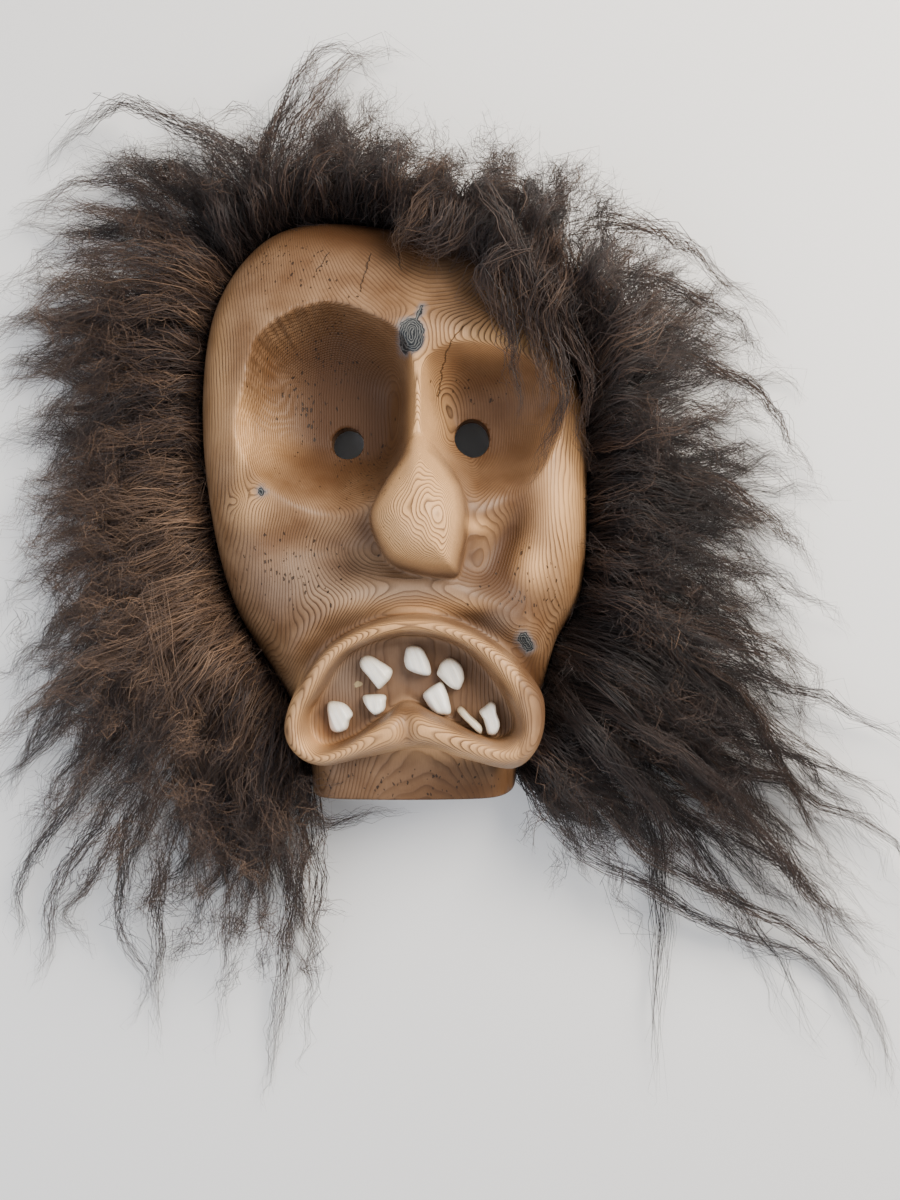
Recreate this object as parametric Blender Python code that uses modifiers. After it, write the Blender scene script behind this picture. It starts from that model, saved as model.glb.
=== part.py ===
# A carved wooden mask with unlike eye sockets, a rolled mouth set with cattle teeth and dark
# fleece fastened round its edge. It lies on its back: x runs to the viewer's right, y towards
# the crown of the head and z from the back rim towards the nose.
import math

import bmesh
import bpy
import numpy as np

# Sizes in metres
FACE_LENGTH = 0.395
FACE_DEPTH = 0.146
WALL = 0.012
CHIN_WALL = 0.016
LEFT_EYE_WIDTH = 0.022
LEFT_EYE_HEIGHT = 0.022
RIGHT_EYE_WIDTH = 0.024
RIGHT_EYE_HEIGHT = 0.027
TOOTH_HEIGHT = 0.010
TOOTH_GAP = 0.0003
HAIR_GAP = 0.0005
PELT_SEAM = 0.001
GAP_PUSH = 1.3
LOCK_TIP = 0.004
HAIR_REACH = 0.270
FORELOCK_WIDTH = 0.017
FORELOCK_THICKNESS = 0.008

# Fineness of the solids
FACE_RINGS = 70
FACE_VOXEL = 0.002
FACE_SMOOTHING = 4
FACE_KEPT = 0.0185
HOLLOW_RINGS = 30
HOLLOW_SMOOTHING = 8
HOLLOW_KEPT = 0.13
CURVE_STEPS = 12
NOSE_SIDES = 48
NOSE_LAYERS = 20
LIP_TURNS = 144
LIP_SIDES = 20
EYE_SIDES = 28
TOOTH_SIDES = 10
COLUMNS_PER_LOCK = 4

# The face is drawn on a grid of 395 steps from crown to chin and 146 steps from rim to nose,
# which makes a step a millimetre on this mask. The origin lies between the nose and the eyes.
STEP = FACE_LENGTH / 395
RISE = FACE_DEPTH / 146
CHIN_Y = -184
SKIRT = -6

FACE_EDGE = [
    (-55, 211), (10, 204), (64, 185), (107, 145), (129, 96), (134, 32), (130, -46), (111, -86),
    (100, -125), (84, -175), (74, -240), (10, -262), (-52, -240), (-62, -175), (-77, -125),
    (-114, -64), (-132, 0), (-139, 78), (-130, 149), (-98, 196),
]
# Forehead, cheeks and muzzle: the plain height, then mounds and dips of it as height, x, y,
# reach sideways, reach up and down, and turn in degrees
PLAIN_HEIGHT = 92
MOUNDS = [
    (12, 8, 118, 78, 21, 0), (5, -90, 6, 26, 20, 0), (7, 108, 8, 22, 50, 0),
    (-11, -42, -22, 34, 17, 0), (-14, 74, -14, 14, 30, -24), (12, 17, 28, 13, 20, 0),
]
FULLNESS = 5.0
ROUNDNESS = 2.3
HOLLOW_FULLNESS = 4.0
HOLLOW_ROUNDNESS = 2.2
RING_DRAW = 0.75
LEFT_EYE = (-34, 52)
LEFT_DEPTH = 47
LEFT_STEEPNESS = 3.2
LEFT_SOCKET = [
    (-46, 136), (-12, 125), (10, 104), (13, 56), (-2, 16), (-42, -4), (-84, 20), (-103, 52),
    (-98, 82), (-86, 118),
]
RIGHT_EYE = (51, 54)
RIGHT_DEPTH = 38
RIGHT_STEEPNESS = 1.8
RIGHT_SOCKET = [
    (20, 98), (42, 109), (72, 107), (98, 97), (113, 78), (104, 44), (84, 12), (56, -3),
    (38, 18), (20, 44), (17, 72),
]
NOSE_TIP = (17, -10)
NOSE_MIDDLE = 94
NOSE_HEIGHT = 51
NOSE_LOWEST = -60
NOSE_EDGE = [
    (2, 27), (-8, 14), (-14, -6), (-9, -25), (6, -37), (24, -39), (39, -37), (46, -22),
    (46, -5), (40, 12), (30, 27), (16, 33),
]
LIP_OUTER = [
    (-68, -132), (-58, -106), (-37, -81), (-4, -66), (31, -66), (67, -83), (91, -108),
    (96, -127), (91, -148), (76, -161), (49, -156), (19, -148), (-16, -154), (-45, -159),
    (-63, -149),
]
LIP_INNER = [
    (-54, -131), (-44, -112), (-26, -88), (8, -77), (40, -83), (62, -103), (77, -132),
    (66, -143), (44, -135), (22, -124), (8, -119), (-6, -128), (-26, -142), (-46, -147),
]
MOUTH_CENTRE = (10, -107)
MOUTH_FLOOR = 92
LIP_MIDDLE = 98
LIP_HEIGHT = 22
LIP_DIPS = [(-4, -60, -130, 22, 22, 0), (-3, 88, -128, 22, 22, 0), (-5, 9, -134, 5, 18, 0)]
MUZZLE_FOOT = 20

# A tooth's layers from its root to its crown: height and width as shares of the whole
TOOTH_LAYERS = [(-0.5, 0.94), (0.6, 1.0), (1.0, 0.7)]
TOOTH_SQUARENESS = 0.7
# Teeth: place on the face grid, turn in degrees, width and length in steps, how much wider
# one end is than the other, and the lean in degrees
TEETH = [
    (-12, -99, 8, 19, 17, 0.42, 6),
    (15, -93, 12, 14, 17, -0.14, -5),
    (37.5, -100.5, -6, 14, 18, 0.16, 5),
    (27, -119, 14, 14, 17, 0.24, -6),
    (-12, -121, 4, 15, 11, 0.20, 4),
    (-34.5, -129, -14, 13, 18, 0.22, -4),
    (48, -131, 50, 7, 19, -0.16, 3),
    (61.5, -130, 14, 11, 20, -0.20, 6),
]

# Locks of fleece: place round the face in degrees, reach as a share of HAIR_REACH, heading of
# the tip and heading at the wood in degrees, height of the fleece at the wood in steps of the
# rise and how far it lies over the wood in steps of the face
CROWN_LOCKS = [
    (118, 0.63, 162, 122, 76, 10), (112, 0.53, 145, 116, 80, 10),
    (106, 0.24, 120, 108, 84, 10), (99, 0.45, 94, 97, 92, 12),
    (90, 0.30, 89, 86, 102, 18), (79, 0.26, 88, 80, 114, 34),
    (68, 0.29, 86, 76, 126, 52), (58, 0.34, 79, 72, 132, 64),
    (49, 0.34, 66, 64, 130, 62), (41, 0.40, 50, 56, 122, 50),
]
LEFT_LOCKS = [
    (131, 0.65, 171, 160, 66, 8), (139, 0.62, 175, 168, 60, 6),
    (147, 0.61, 179, 175, 58, 6), (156, 0.58, 184, 182, 58, 6),
    (165, 0.55, 190, 190, 58, 6), (174, 0.59, 196, 195, 62, 6),
]
BEARD_LOCKS = [
    (190, 0.69, 211, 205, 76, 10), (197, 0.79, 218, 210, 84, 14),
    (204, 0.89, 224, 214, 94, 20), (211, 0.96, 230, 218, 102, 28),
    (218, 1.05, 235, 222, 106, 32), (225, 1.02, 241, 228, 106, 30),
    (232, 1.04, 247, 236, 104, 24), (238, 1.03, 251, 244, 100, 16),
    (243, 0.95, 257, 252, 92, 10), (247, 0.99, 264, 258, 82, 8),
]
RIGHT_LOCKS = [
    (28, 0.60, 20, 25, 104, 14), (20, 0.53, 12, 16, 92, 8),
    (12, 0.57, 3, 8, 82, 6), (3, 0.63, -7, -2, 76, 6),
    (-6, 0.66, -16, -9, 74, 6), (-15, 0.70, -24, -14, 74, 8),
    (-23, 0.72, -30, -18, 76, 10), (-31, 0.92, -35, -21, 80, 12),
    (-38, 1.10, -37, -24, 82, 10), (-44, 1.20, -40, -27, 80, 10),
    (-50, 1.47, -49, -30, 78, 10), (-57, 0.74, -50, -40, 72, 10),
    (-64, 0.38, -56, -54, 64, 8),
]
# Share of the overlap and of the height of each row over the wood, then the share of the way
# from the wood to the tip of each row outside it
FLEECE_OVERLAP = [(1.0, 0.55), (0.45, 0.93)]
FLEECE_ROWS = [0.0, 0.18, 0.4, 0.6, 0.8, 1.0]
NOTCH_BEND = 1.4
NOTCH_DEPTH = 0.26
NOTCH_SAG = 0.22
SIDEWAYS_START = 0.42
WAVE_DEPTH = 0.006
WAVES = 1.3

# Forelock over the right socket: x and y on the face grid and the height of its middle
FORELOCK = [(70, 156, 118), (78, 118, 112), (85, 84, 107), (92, 52, 103), (86, 20, 98)]
FORELOCK_SHARES = [1.0, 1.0, 0.85, 0.6, 0.22]
FORELOCK_SIDES = 6


def smooth_loop(points, steps=CURVE_STEPS):
    # A closed curve through all the points
    knots = np.array(points, dtype=float)
    before, after, beyond = np.roll(knots, 1, 0), np.roll(knots, -1, 0), np.roll(knots, -2, 0)
    curve = []
    for share in np.linspace(0, 1, steps, endpoint=False):
        bend = 2 * knots + (after - before) * share
        bend = bend + (2 * before - 5 * knots + 4 * after - beyond) * share**2
        bend = bend + (3 * knots - before - 3 * after + beyond) * share**3
        curve.append(bend / 2)
    return np.stack(curve, axis=1).reshape(-1, 2)


def reach_round(centre, loop, angle):
    # Distance from the centre to the loop in each direction
    curve = smooth_loop(loop) - np.array(centre)
    angles = np.arctan2(curve[:, 1], curve[:, 0])
    order = np.argsort(angles)
    return np.interp(angle, angles[order], np.hypot(curve[order, 0], curve[order, 1]),
                     period=2 * math.pi)


def share_and_angle(x, y, centre, loop, wider=0.0):
    # 0 at the centre, 1 on the loop
    angle = np.arctan2(y - centre[1], x - centre[0])
    distance = np.hypot(x - centre[0], y - centre[1])
    return distance / (reach_round(centre, loop, angle) + wider), angle


def distance_inside(x, y, loop):
    # Distance to the loop, positive inside it and negative outside
    curve = smooth_loop(loop)
    closest = np.full(x.shape, np.inf)
    inside = np.zeros(x.shape, dtype=bool)
    for (ax, ay), (bx, by) in zip(curve, np.roll(curve, -1, 0)):
        along = ((x - ax) * (bx - ax) + (y - ay) * (by - ay)) / ((bx - ax)**2 + (by - ay)**2)
        along = np.clip(along, 0, 1)
        gap = np.hypot(x - ax - along * (bx - ax), y - ay - along * (by - ay))
        closest = np.minimum(closest, gap)
        if ay != by:
            crossed = ((ay > y) != (by > y)) & (x < (bx - ax) * (y - ay) / (by - ay) + ax)
            inside ^= crossed
    return np.where(inside, closest, -closest)


def mounds(x, y, rows):
    # Sum of soft mounds and dips
    height = 0
    for level, middle_x, middle_y, reach_x, reach_y, turn in rows:
        cosine, sine = math.cos(math.radians(turn)), math.sin(math.radians(turn))
        u = ((x - middle_x) * cosine + (y - middle_y) * sine) / reach_x
        v = ((y - middle_y) * cosine - (x - middle_x) * sine) / reach_y
        height = height + level * np.exp(-u**2 - v**2)
    return height


def dome(share, fullness, roundness):
    return np.clip(1 - np.clip(share, 0, 1)**fullness, 0, 1)**(1 / roundness)


def bowl(x, y, eye, loop, steep, wider=0.0):
    # Hollow round an eye hole: steep under the brow and by the nose, soft over the cheek
    share, angle = share_and_angle(x, y, eye, loop, wider)
    up = np.clip(np.sin(angle), 0, 1)**2
    down = np.clip(-np.sin(angle), 0, 1)**2
    side = np.clip(np.cos(angle) * (1 if eye[0] < 0 else -1), 0, 1)**2
    bend = 2.1 + steep * up + 0.7 * steep * side
    return np.clip(1 - np.clip(share, 0, 1)**bend, 0, 1)**(1 + 0.8 * down)


def plain_height(x, y, lips):
    # Forehead, cheeks and muzzle without sockets, nose and mouth
    height = PLAIN_HEIGHT + mounds(x, y, MOUNDS)
    muzzle = np.exp(-((-lips - 19) / 12)**2) * np.clip((y + 130) / 40, 0, 1)
    groove = np.exp(-((-lips - 4) / 5)**2) * np.clip((y + 130) / 40, 0, 1)
    return height + 9 * muzzle - 3 * groove


def face_height(x, y):
    # Height of the face without its nose and lips, in steps
    share, _ = share_and_angle(x, y, (0, 0), FACE_EDGE)
    lips = distance_inside(x, y, LIP_OUTER)
    height = plain_height(x, y, lips) * dome(share, FULLNESS, ROUNDNESS)
    height = height - LEFT_DEPTH * bowl(x, y, LEFT_EYE, LEFT_SOCKET, LEFT_STEEPNESS)
    height = height - RIGHT_DEPTH * bowl(x, y, RIGHT_EYE, RIGHT_SOCKET, RIGHT_STEEPNESS)
    inward = np.clip(lips / 9, 0, 1)
    return height * (1 - inward) + MOUTH_FLOOR * inward


def hollow_surface(x, y, share):
    # Inner face: it follows the broad form and bulges in behind the sockets
    depth = WALL / RISE
    lips = np.full(x.shape, -80.0)
    broad = (plain_height(x, y, lips) - depth - 2) * dome(share, HOLLOW_FULLNESS,
                                                         HOLLOW_ROUNDNESS)
    left = LEFT_DEPTH * bowl(x, y, LEFT_EYE, LEFT_SOCKET, LEFT_STEEPNESS, 1.15 * depth)
    right = RIGHT_DEPTH * bowl(x, y, RIGHT_EYE, RIGHT_SOCKET, RIGHT_STEEPNESS, 1.15 * depth)
    return broad - np.maximum(left, right)


def disc_grid(rings):
    # Concentric rings drawn from a square grid, so that the mesh has no pole
    side = np.linspace(-1, 1, 2 * rings + 1)
    u, v = np.meshgrid(side, side)
    ring = np.maximum(np.abs(u), np.abs(v))
    wide = np.abs(u) >= np.abs(v)
    slope = np.where(wide, v / np.where(u == 0, 1, u), u / np.where(v == 0, 1, v))
    angle = np.where(wide, slope * math.pi / 4, math.pi / 2 - slope * math.pi / 4)
    lower = np.where(wide, u < 0, v < 0)
    return ring, angle + math.pi * lower


def ring_places(ring, fullness, roundness):
    # Spaces the rings evenly along the dome instead of along its plan
    share = np.linspace(0, 1, 400)
    height = dome(share, fullness, roundness) * RING_DRAW
    length = np.concatenate([[0], np.cumsum(np.hypot(np.diff(share), np.diff(height)))])
    return np.interp(ring * length[-1], length, share)


def closed_sheet(x, y, top, bottom):
    # Solid between a grid of heights and a flat underside of one face
    rows, columns = x.shape
    scale = np.array([STEP, STEP, RISE])
    upper = np.stack([x, y, top], -1).reshape(-1, 3) * scale
    index = np.arange(rows * columns).reshape(rows, columns)
    quads = np.stack([index[:-1, :-1], index[:-1, 1:], index[1:, 1:], index[1:, :-1]], -1)
    border = np.concatenate([index[0, :-1], index[:-1, -1], index[-1, :0:-1], index[:0:-1, 0]])
    lower = upper[border] * (1, 1, 0) + (0, 0, bottom * RISE)
    under = np.arange(len(border)) + rows * columns
    walls = np.stack([border, under, np.roll(under, -1), np.roll(border, -1)], -1)
    faces = quads.reshape(-1, 4).tolist() + walls.tolist() + [under[::-1].tolist()]
    return np.concatenate([upper, lower]), faces


def ring_stack(rings):
    # Closed solid through rings of as many places each, with flat ends
    count = len(rings[0])
    faces = [list(range(count))[::-1]]
    for low in range(0, (len(rings) - 1) * count, count):
        for side in range(count):
            after = (side + 1) % count
            faces.append([low + side, low + after, low + after + count, low + side + count])
    last = (len(rings) - 1) * count
    faces.append(list(range(last, last + count)))
    return np.concatenate(rings), faces


def nose_ball():
    # A ball over the outline of the nose, with its lower part sunk in the face
    angle = np.linspace(0, 2 * math.pi, NOSE_SIDES, endpoint=False)
    radius = reach_round(NOSE_TIP, NOSE_EDGE, angle)
    rings = []
    for slope in np.radians(np.linspace(NOSE_LOWEST, 88, NOSE_LAYERS)):
        level = NOSE_HEIGHT if slope > 0 else 0.7 * NOSE_HEIGHT
        wide = radius * math.cos(slope)
        rings.append(np.stack([NOSE_TIP[0] + wide * np.cos(angle),
                               NOSE_TIP[1] + wide * np.sin(angle),
                               np.full(NOSE_SIDES, NOSE_MIDDLE + level * math.sin(slope))], -1))
    return ring_stack(rings)


def muzzle_block():
    # The wood that carries the lips
    curve = smooth_loop(LIP_OUTER)
    middle = np.array(MOUTH_CENTRE)
    rings = []
    for share, level in ((0.90, MUZZLE_FOOT), (0.93, MOUTH_FLOOR - 8), (0.90, MOUTH_FLOOR)):
        places = middle + (curve - middle) * share
        rings.append(np.column_stack([places, np.full(len(places), level)]))
    return ring_stack(rings)


def lip_roll():
    # A thick ring between the outer and the inner line of the lips
    points = []
    for angle in np.linspace(0, 2 * math.pi, LIP_TURNS, endpoint=False):
        outer = reach_round(MOUTH_CENTRE, LIP_OUTER, angle)
        inner = reach_round(MOUTH_CENTRE, LIP_INNER, angle)
        for side in range(LIP_SIDES):
            around = 2 * math.pi * side / LIP_SIDES
            radius = (outer + inner) / 2 + (outer - inner) / 2 * math.cos(around)
            x = MOUTH_CENTRE[0] + radius * math.cos(angle)
            y = MOUTH_CENTRE[1] + radius * math.sin(angle)
            crest = LIP_HEIGHT + mounds(x, y, LIP_DIPS)
            points.append((x, y, LIP_MIDDLE + crest * math.sin(around)))
    faces = []
    for turn in range(LIP_TURNS):
        for side in range(LIP_SIDES):
            here, ahead = turn * LIP_SIDES, (turn + 1) % LIP_TURNS * LIP_SIDES
            after = (side + 1) % LIP_SIDES
            faces.append([here + side, ahead + side, ahead + after, here + after])
    return np.array(points), faces


def mesh_object(name, points, faces, collection, material=None, smooth=False):
    mesh = bpy.data.meshes.new(name)
    mesh.from_pydata([tuple(point) for point in points], [], [tuple(face) for face in faces])
    built = bmesh.new()
    built.from_mesh(mesh)
    bmesh.ops.recalc_face_normals(built, faces=built.faces)
    for face in built.faces:
        face.smooth = smooth and len(face.verts) == 4
    built.to_mesh(mesh)
    built.free()
    if material:
        mesh.materials.append(material)
    piece = bpy.data.objects.new(name, mesh)
    collection.objects.link(piece)
    return piece


def plain_material(name, colour, roughness):
    material = bpy.data.materials.new(name)
    material.use_nodes = True
    shader = material.node_tree.nodes["Principled BSDF"]
    shader.inputs["Base Color"].default_value = (*colour, 1.0)
    shader.inputs["Roughness"].default_value = roughness
    shader.inputs["Metallic"].default_value = 0.0
    return material


def boolean(piece, cutter, operation):
    step = piece.modifiers.new(operation.title() + " " + cutter.name, "BOOLEAN")
    step.operation = operation
    step.object = cutter
    step.solver = "EXACT"


def carved_body(name, collection, material=None):
    # Face, muzzle, nose and lips grown together: the carved outside as a closed block that
    # reaches below the rim and past the chin
    ring, angle = disc_grid(FACE_RINGS)
    share = ring_places(ring, FULLNESS, ROUNDNESS)
    radius = reach_round((0, 0), FACE_EDGE, angle)
    x = radius * share * np.cos(angle)
    y = radius * share * np.sin(angle)
    scale = np.array([STEP, STEP, RISE])
    points, faces = closed_sheet(x, y, face_height(x, y), SKIRT)
    for more_points, more_faces in (muzzle_block(), nose_ball(), lip_roll()):
        faces = faces + [[corner + len(points) for corner in face] for face in more_faces]
        points = np.concatenate([points, more_points * scale])
    piece = mesh_object(name, points, faces, collection, material)
    grow = piece.modifiers.new("Grown together", "REMESH")
    grow.mode = "VOXEL"
    grow.voxel_size = FACE_VOXEL
    grow.use_smooth_shade = True
    soften = piece.modifiers.new("Soften", "SMOOTH")
    soften.iterations = FACE_SMOOTHING
    thin = piece.modifiers.new("Fewer faces", "DECIMATE")
    thin.ratio = FACE_KEPT
    return piece


def hollow_cutter(collection):
    ring, angle = disc_grid(HOLLOW_RINGS)
    share = ring_places(ring, HOLLOW_FULLNESS, HOLLOW_ROUNDNESS)
    radius = reach_round((0, 0), FACE_EDGE, angle) - WALL / STEP
    chin = (CHIN_Y + CHIN_WALL / STEP) / np.minimum(np.sin(angle), -1e-3)
    radius = np.minimum(radius, np.where(np.sin(angle) < 0, chin, np.inf))
    x = radius * share * np.cos(angle)
    y = radius * share * np.sin(angle)
    points, faces = closed_sheet(x, y, hollow_surface(x, y, share), SKIRT)
    piece = mesh_object("hollow_cutter", points, faces, collection, smooth=True)
    soften = piece.modifiers.new("Soften", "SMOOTH")
    soften.iterations = HOLLOW_SMOOTHING
    thin = piece.modifiers.new("Fewer faces", "DECIMATE")
    thin.ratio = HOLLOW_KEPT
    return piece


def eye_cutter(name, place, width, height, collection):
    # An upright drill that runs past both faces of the wood
    drill = bpy.data.meshes.new(name)
    built = bmesh.new()
    bmesh.ops.create_cone(built, cap_ends=True, segments=EYE_SIDES, radius1=0.5, radius2=0.5,
                          depth=1)
    bmesh.ops.scale(built, vec=(width, height, FACE_DEPTH), verts=built.verts)
    for face in built.faces:
        face.smooth = len(face.verts) == 4
    built.to_mesh(drill)
    built.free()
    piece = bpy.data.objects.new(name, drill)
    piece.location = (place[0] * STEP, place[1] * STEP, FACE_DEPTH / 2)
    collection.objects.link(piece)
    return piece


def block(name, low, high, collection):
    mesh = bpy.data.meshes.new(name)
    built = bmesh.new()
    bmesh.ops.create_cube(built, size=1)
    bmesh.ops.scale(built, vec=[b - a for a, b in zip(low, high)], verts=built.verts)
    bmesh.ops.translate(built, vec=[(a + b) / 2 for a, b in zip(low, high)], verts=built.verts)
    built.to_mesh(mesh)
    built.free()
    piece = bpy.data.objects.new(name, mesh)
    collection.objects.link(piece)
    return piece


def tooth(name, row, collection, material, envelope):
    # Crown of a cattle incisor: a rounded wedge, domed on top and seated on the mouth floor
    x, y, turn, width, length, taper, lean = row
    angle = np.linspace(0, 2 * math.pi, TOOTH_SIDES, endpoint=False)
    across = np.sign(np.cos(angle)) * np.abs(np.cos(angle))**TOOTH_SQUARENESS
    along = np.sign(np.sin(angle)) * np.abs(np.sin(angle))**TOOTH_SQUARENESS
    rings = []
    for level, share in TOOTH_LAYERS:
        rings.append(np.stack([across * (1 + taper * along) * share * width * STEP / 2,
                               along * share * length * STEP / 2,
                               np.full(TOOTH_SIDES, level * TOOTH_HEIGHT)], -1))
    points, faces = ring_stack(rings)
    piece = mesh_object(name, points, faces, collection, material, smooth=True)
    piece.location = (x * STEP, y * STEP, MOUTH_FLOOR * RISE)
    piece.rotation_euler = (math.radians(lean), math.radians(-lean), math.radians(turn))
    boolean(piece, envelope, "DIFFERENCE")
    return piece


def lock_columns(locks):
    # The six values of a lock and the notch for each column of a pelt
    table = np.array(locks, dtype=float)
    count = (len(locks) - 1) * COLUMNS_PER_LOCK + 1
    place = np.linspace(0, len(locks) - 1, count)
    columns = [np.interp(place, np.arange(len(locks)), table[:, field]) for field in range(6)]
    notch = np.abs(2 * (place - np.round(place)))**NOTCH_BEND
    return np.stack(columns + [notch], axis=-1)


def between(row, other):
    # The shared border of two pelts
    return tuple((a + b) / 2 for a, b in zip(row, other))


def pelt(name, locks, seams, collection, material, envelope):
    # Fleece fanned out from the wood to pointed locks; seams says which ends meet a neighbour
    columns = lock_columns(locks)
    grid = []
    for number, (place, reach, heading, start, height, overlap, notch) in enumerate(columns):
        angle, course = math.radians(place), math.radians(heading)
        setting = math.radians(start)
        out = np.array([math.cos(angle), math.sin(angle)])
        root = out * reach_round((0, 0), FACE_EDGE, angle) * STEP
        away = np.array([math.cos(course), math.sin(course)])
        length = reach * HAIR_REACH
        shown = 1 - NOTCH_DEPTH * notch
        end = {0: seams[0], len(columns) - 1: seams[1]}.get(number, 0)
        across = np.array([-away[1], away[0]]) * end * PELT_SEAM / 2
        bend = root + np.array([math.cos(setting), math.sin(setting)]) * SIDEWAYS_START * length
        tip = root + away * length
        line = []
        for inward, level in FLEECE_OVERLAP:
            spot = root - out * overlap * STEP * inward
            line.append((*(spot + across), height * RISE * level))
        for row in FLEECE_ROWS:
            way = row * shown
            spot = root * (1 - way)**2 + 2 * bend * way * (1 - way) + tip * way**2
            wave = WAVE_DEPTH * reach * way * math.sin(2 * math.pi * WAVES * way)
            spot = spot + np.array([-away[1], away[0]]) * wave
            fall = (1 - row)**1.1 * (1 + 0.9 * row) * (1 - NOTCH_SAG * notch * row**0.5)
            line.append((*(spot + across), LOCK_TIP + (height * RISE - LOCK_TIP) * fall))
        grid.append(line)
    grid = np.array(grid).transpose(1, 0, 2)
    points, faces = closed_sheet(grid[:, :, 0] / STEP, grid[:, :, 1] / STEP,
                                 grid[:, :, 2] / RISE, 0)
    piece = mesh_object(name, points, faces, collection, material)
    boolean(piece, envelope, "DIFFERENCE")
    return piece


def forelock_mesh(collection):
    # A strand that hangs from the crown's fleece
    angle = np.linspace(0, 2 * math.pi, FORELOCK_SIDES, endpoint=False)
    rings = []
    for (x, y, height), share in zip(FORELOCK, FORELOCK_SHARES):
        rings.append(np.stack([x * STEP + np.cos(angle) * share * FORELOCK_WIDTH / 2,
                               np.full(FORELOCK_SIDES, y * STEP),
                               height * RISE + np.sin(angle) * share * FORELOCK_THICKNESS / 2],
                              -1))
    points, faces = ring_stack(rings)
    return mesh_object("forelock_guide", points, faces, collection)


def new_collection(name):
    collection = bpy.data.collections.new(name)
    bpy.context.scene.collection.children.link(collection)
    return collection


def centre_on_floor(root, pieces):
    # Puts the origin under the middle of the whole part
    bpy.context.view_layer.update()
    graph = bpy.context.evaluated_depsgraph_get()
    corners = []
    for piece in pieces:
        shown = piece.evaluated_get(graph)
        corners += [shown.matrix_world @ vertex.co for vertex in shown.data.vertices]
    spread = np.array(corners)
    middle = (spread.min(axis=0) + spread.max(axis=0)) / 2
    root.location = (-middle[0], -middle[1], 0)


def main():
    for old in list(bpy.data.objects):
        bpy.data.objects.remove(old, do_unlink=True)
    parts = new_collection("tschaggatta_mask")
    cutters = new_collection("cutters")
    root = bpy.data.objects.new("mask_root", None)
    parts.objects.link(root)

    pine = plain_material("oiled stone pine", (0.33, 0.19, 0.10), 0.5)
    ivory = plain_material("cattle tooth", (0.85, 0.80, 0.68), 0.35)
    dark_wool = plain_material("dark brown fleece", (0.022, 0.015, 0.013), 0.85)
    brown_wool = plain_material("brown matted fleece", (0.060, 0.035, 0.024), 0.9)

    face = carved_body("carved_face", parts, pine)
    far = FACE_LENGTH
    blank = block("blank", (-far, CHIN_Y * STEP, 0), (far, far, 2 * FACE_DEPTH), cutters)
    boolean(face, blank, "INTERSECT")
    boolean(face, hollow_cutter(cutters), "DIFFERENCE")
    boolean(face, eye_cutter("left_eye_drill", LEFT_EYE, LEFT_EYE_WIDTH, LEFT_EYE_HEIGHT,
                             cutters), "DIFFERENCE")
    boolean(face, eye_cutter("right_eye_drill", RIGHT_EYE, RIGHT_EYE_WIDTH, RIGHT_EYE_HEIGHT,
                             cutters), "DIFFERENCE")

    envelopes = []
    for name, gap in (("tooth_envelope", TOOTH_GAP), ("hair_envelope", HAIR_GAP)):
        envelope = face.copy()
        envelope.name = name
        cutters.objects.link(envelope)
        for step in list(envelope.modifiers):
            if step.type == "BOOLEAN":
                envelope.modifiers.remove(step)
        push = envelope.modifiers.new("Gap", "DISPLACE")
        push.strength = gap * GAP_PUSH
        push.mid_level = 0
        envelopes.append(envelope)

    for number, row in enumerate(TEETH, start=1):
        tooth("tooth_%d" % number, row, parts, ivory, envelopes[0])

    crown_left = between(CROWN_LOCKS[0], LEFT_LOCKS[0])
    left_beard = between(LEFT_LOCKS[-1], BEARD_LOCKS[0])
    crown_right = between(CROWN_LOCKS[-1], RIGHT_LOCKS[0])
    crown = pelt("fleece_crown", [crown_left] + CROWN_LOCKS + [crown_right], (-1, 1), parts,
                 dark_wool, envelopes[1])
    forelock = forelock_mesh(cutters)
    boolean(crown, forelock, "UNION")
    crown.modifiers.move(len(crown.modifiers) - 1, 0)
    pelt("fleece_left", [crown_left] + LEFT_LOCKS + [left_beard], (1, -1), parts,
         dark_wool, envelopes[1])
    pelt("fleece_beard", [left_beard] + BEARD_LOCKS, (1, 0), parts, brown_wool, envelopes[1])
    pelt("fleece_right", [crown_right] + RIGHT_LOCKS, (-1, 0), parts, dark_wool, envelopes[1])

    for cutter in cutters.objects:
        cutter.hide_render = True
        cutter.display_type = "WIRE"
    for piece in list(parts.objects) + list(cutters.objects):
        if piece is not root:
            piece.parent = root
    centre_on_floor(root, [piece for piece in parts.objects if piece is not root])


main()
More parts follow.
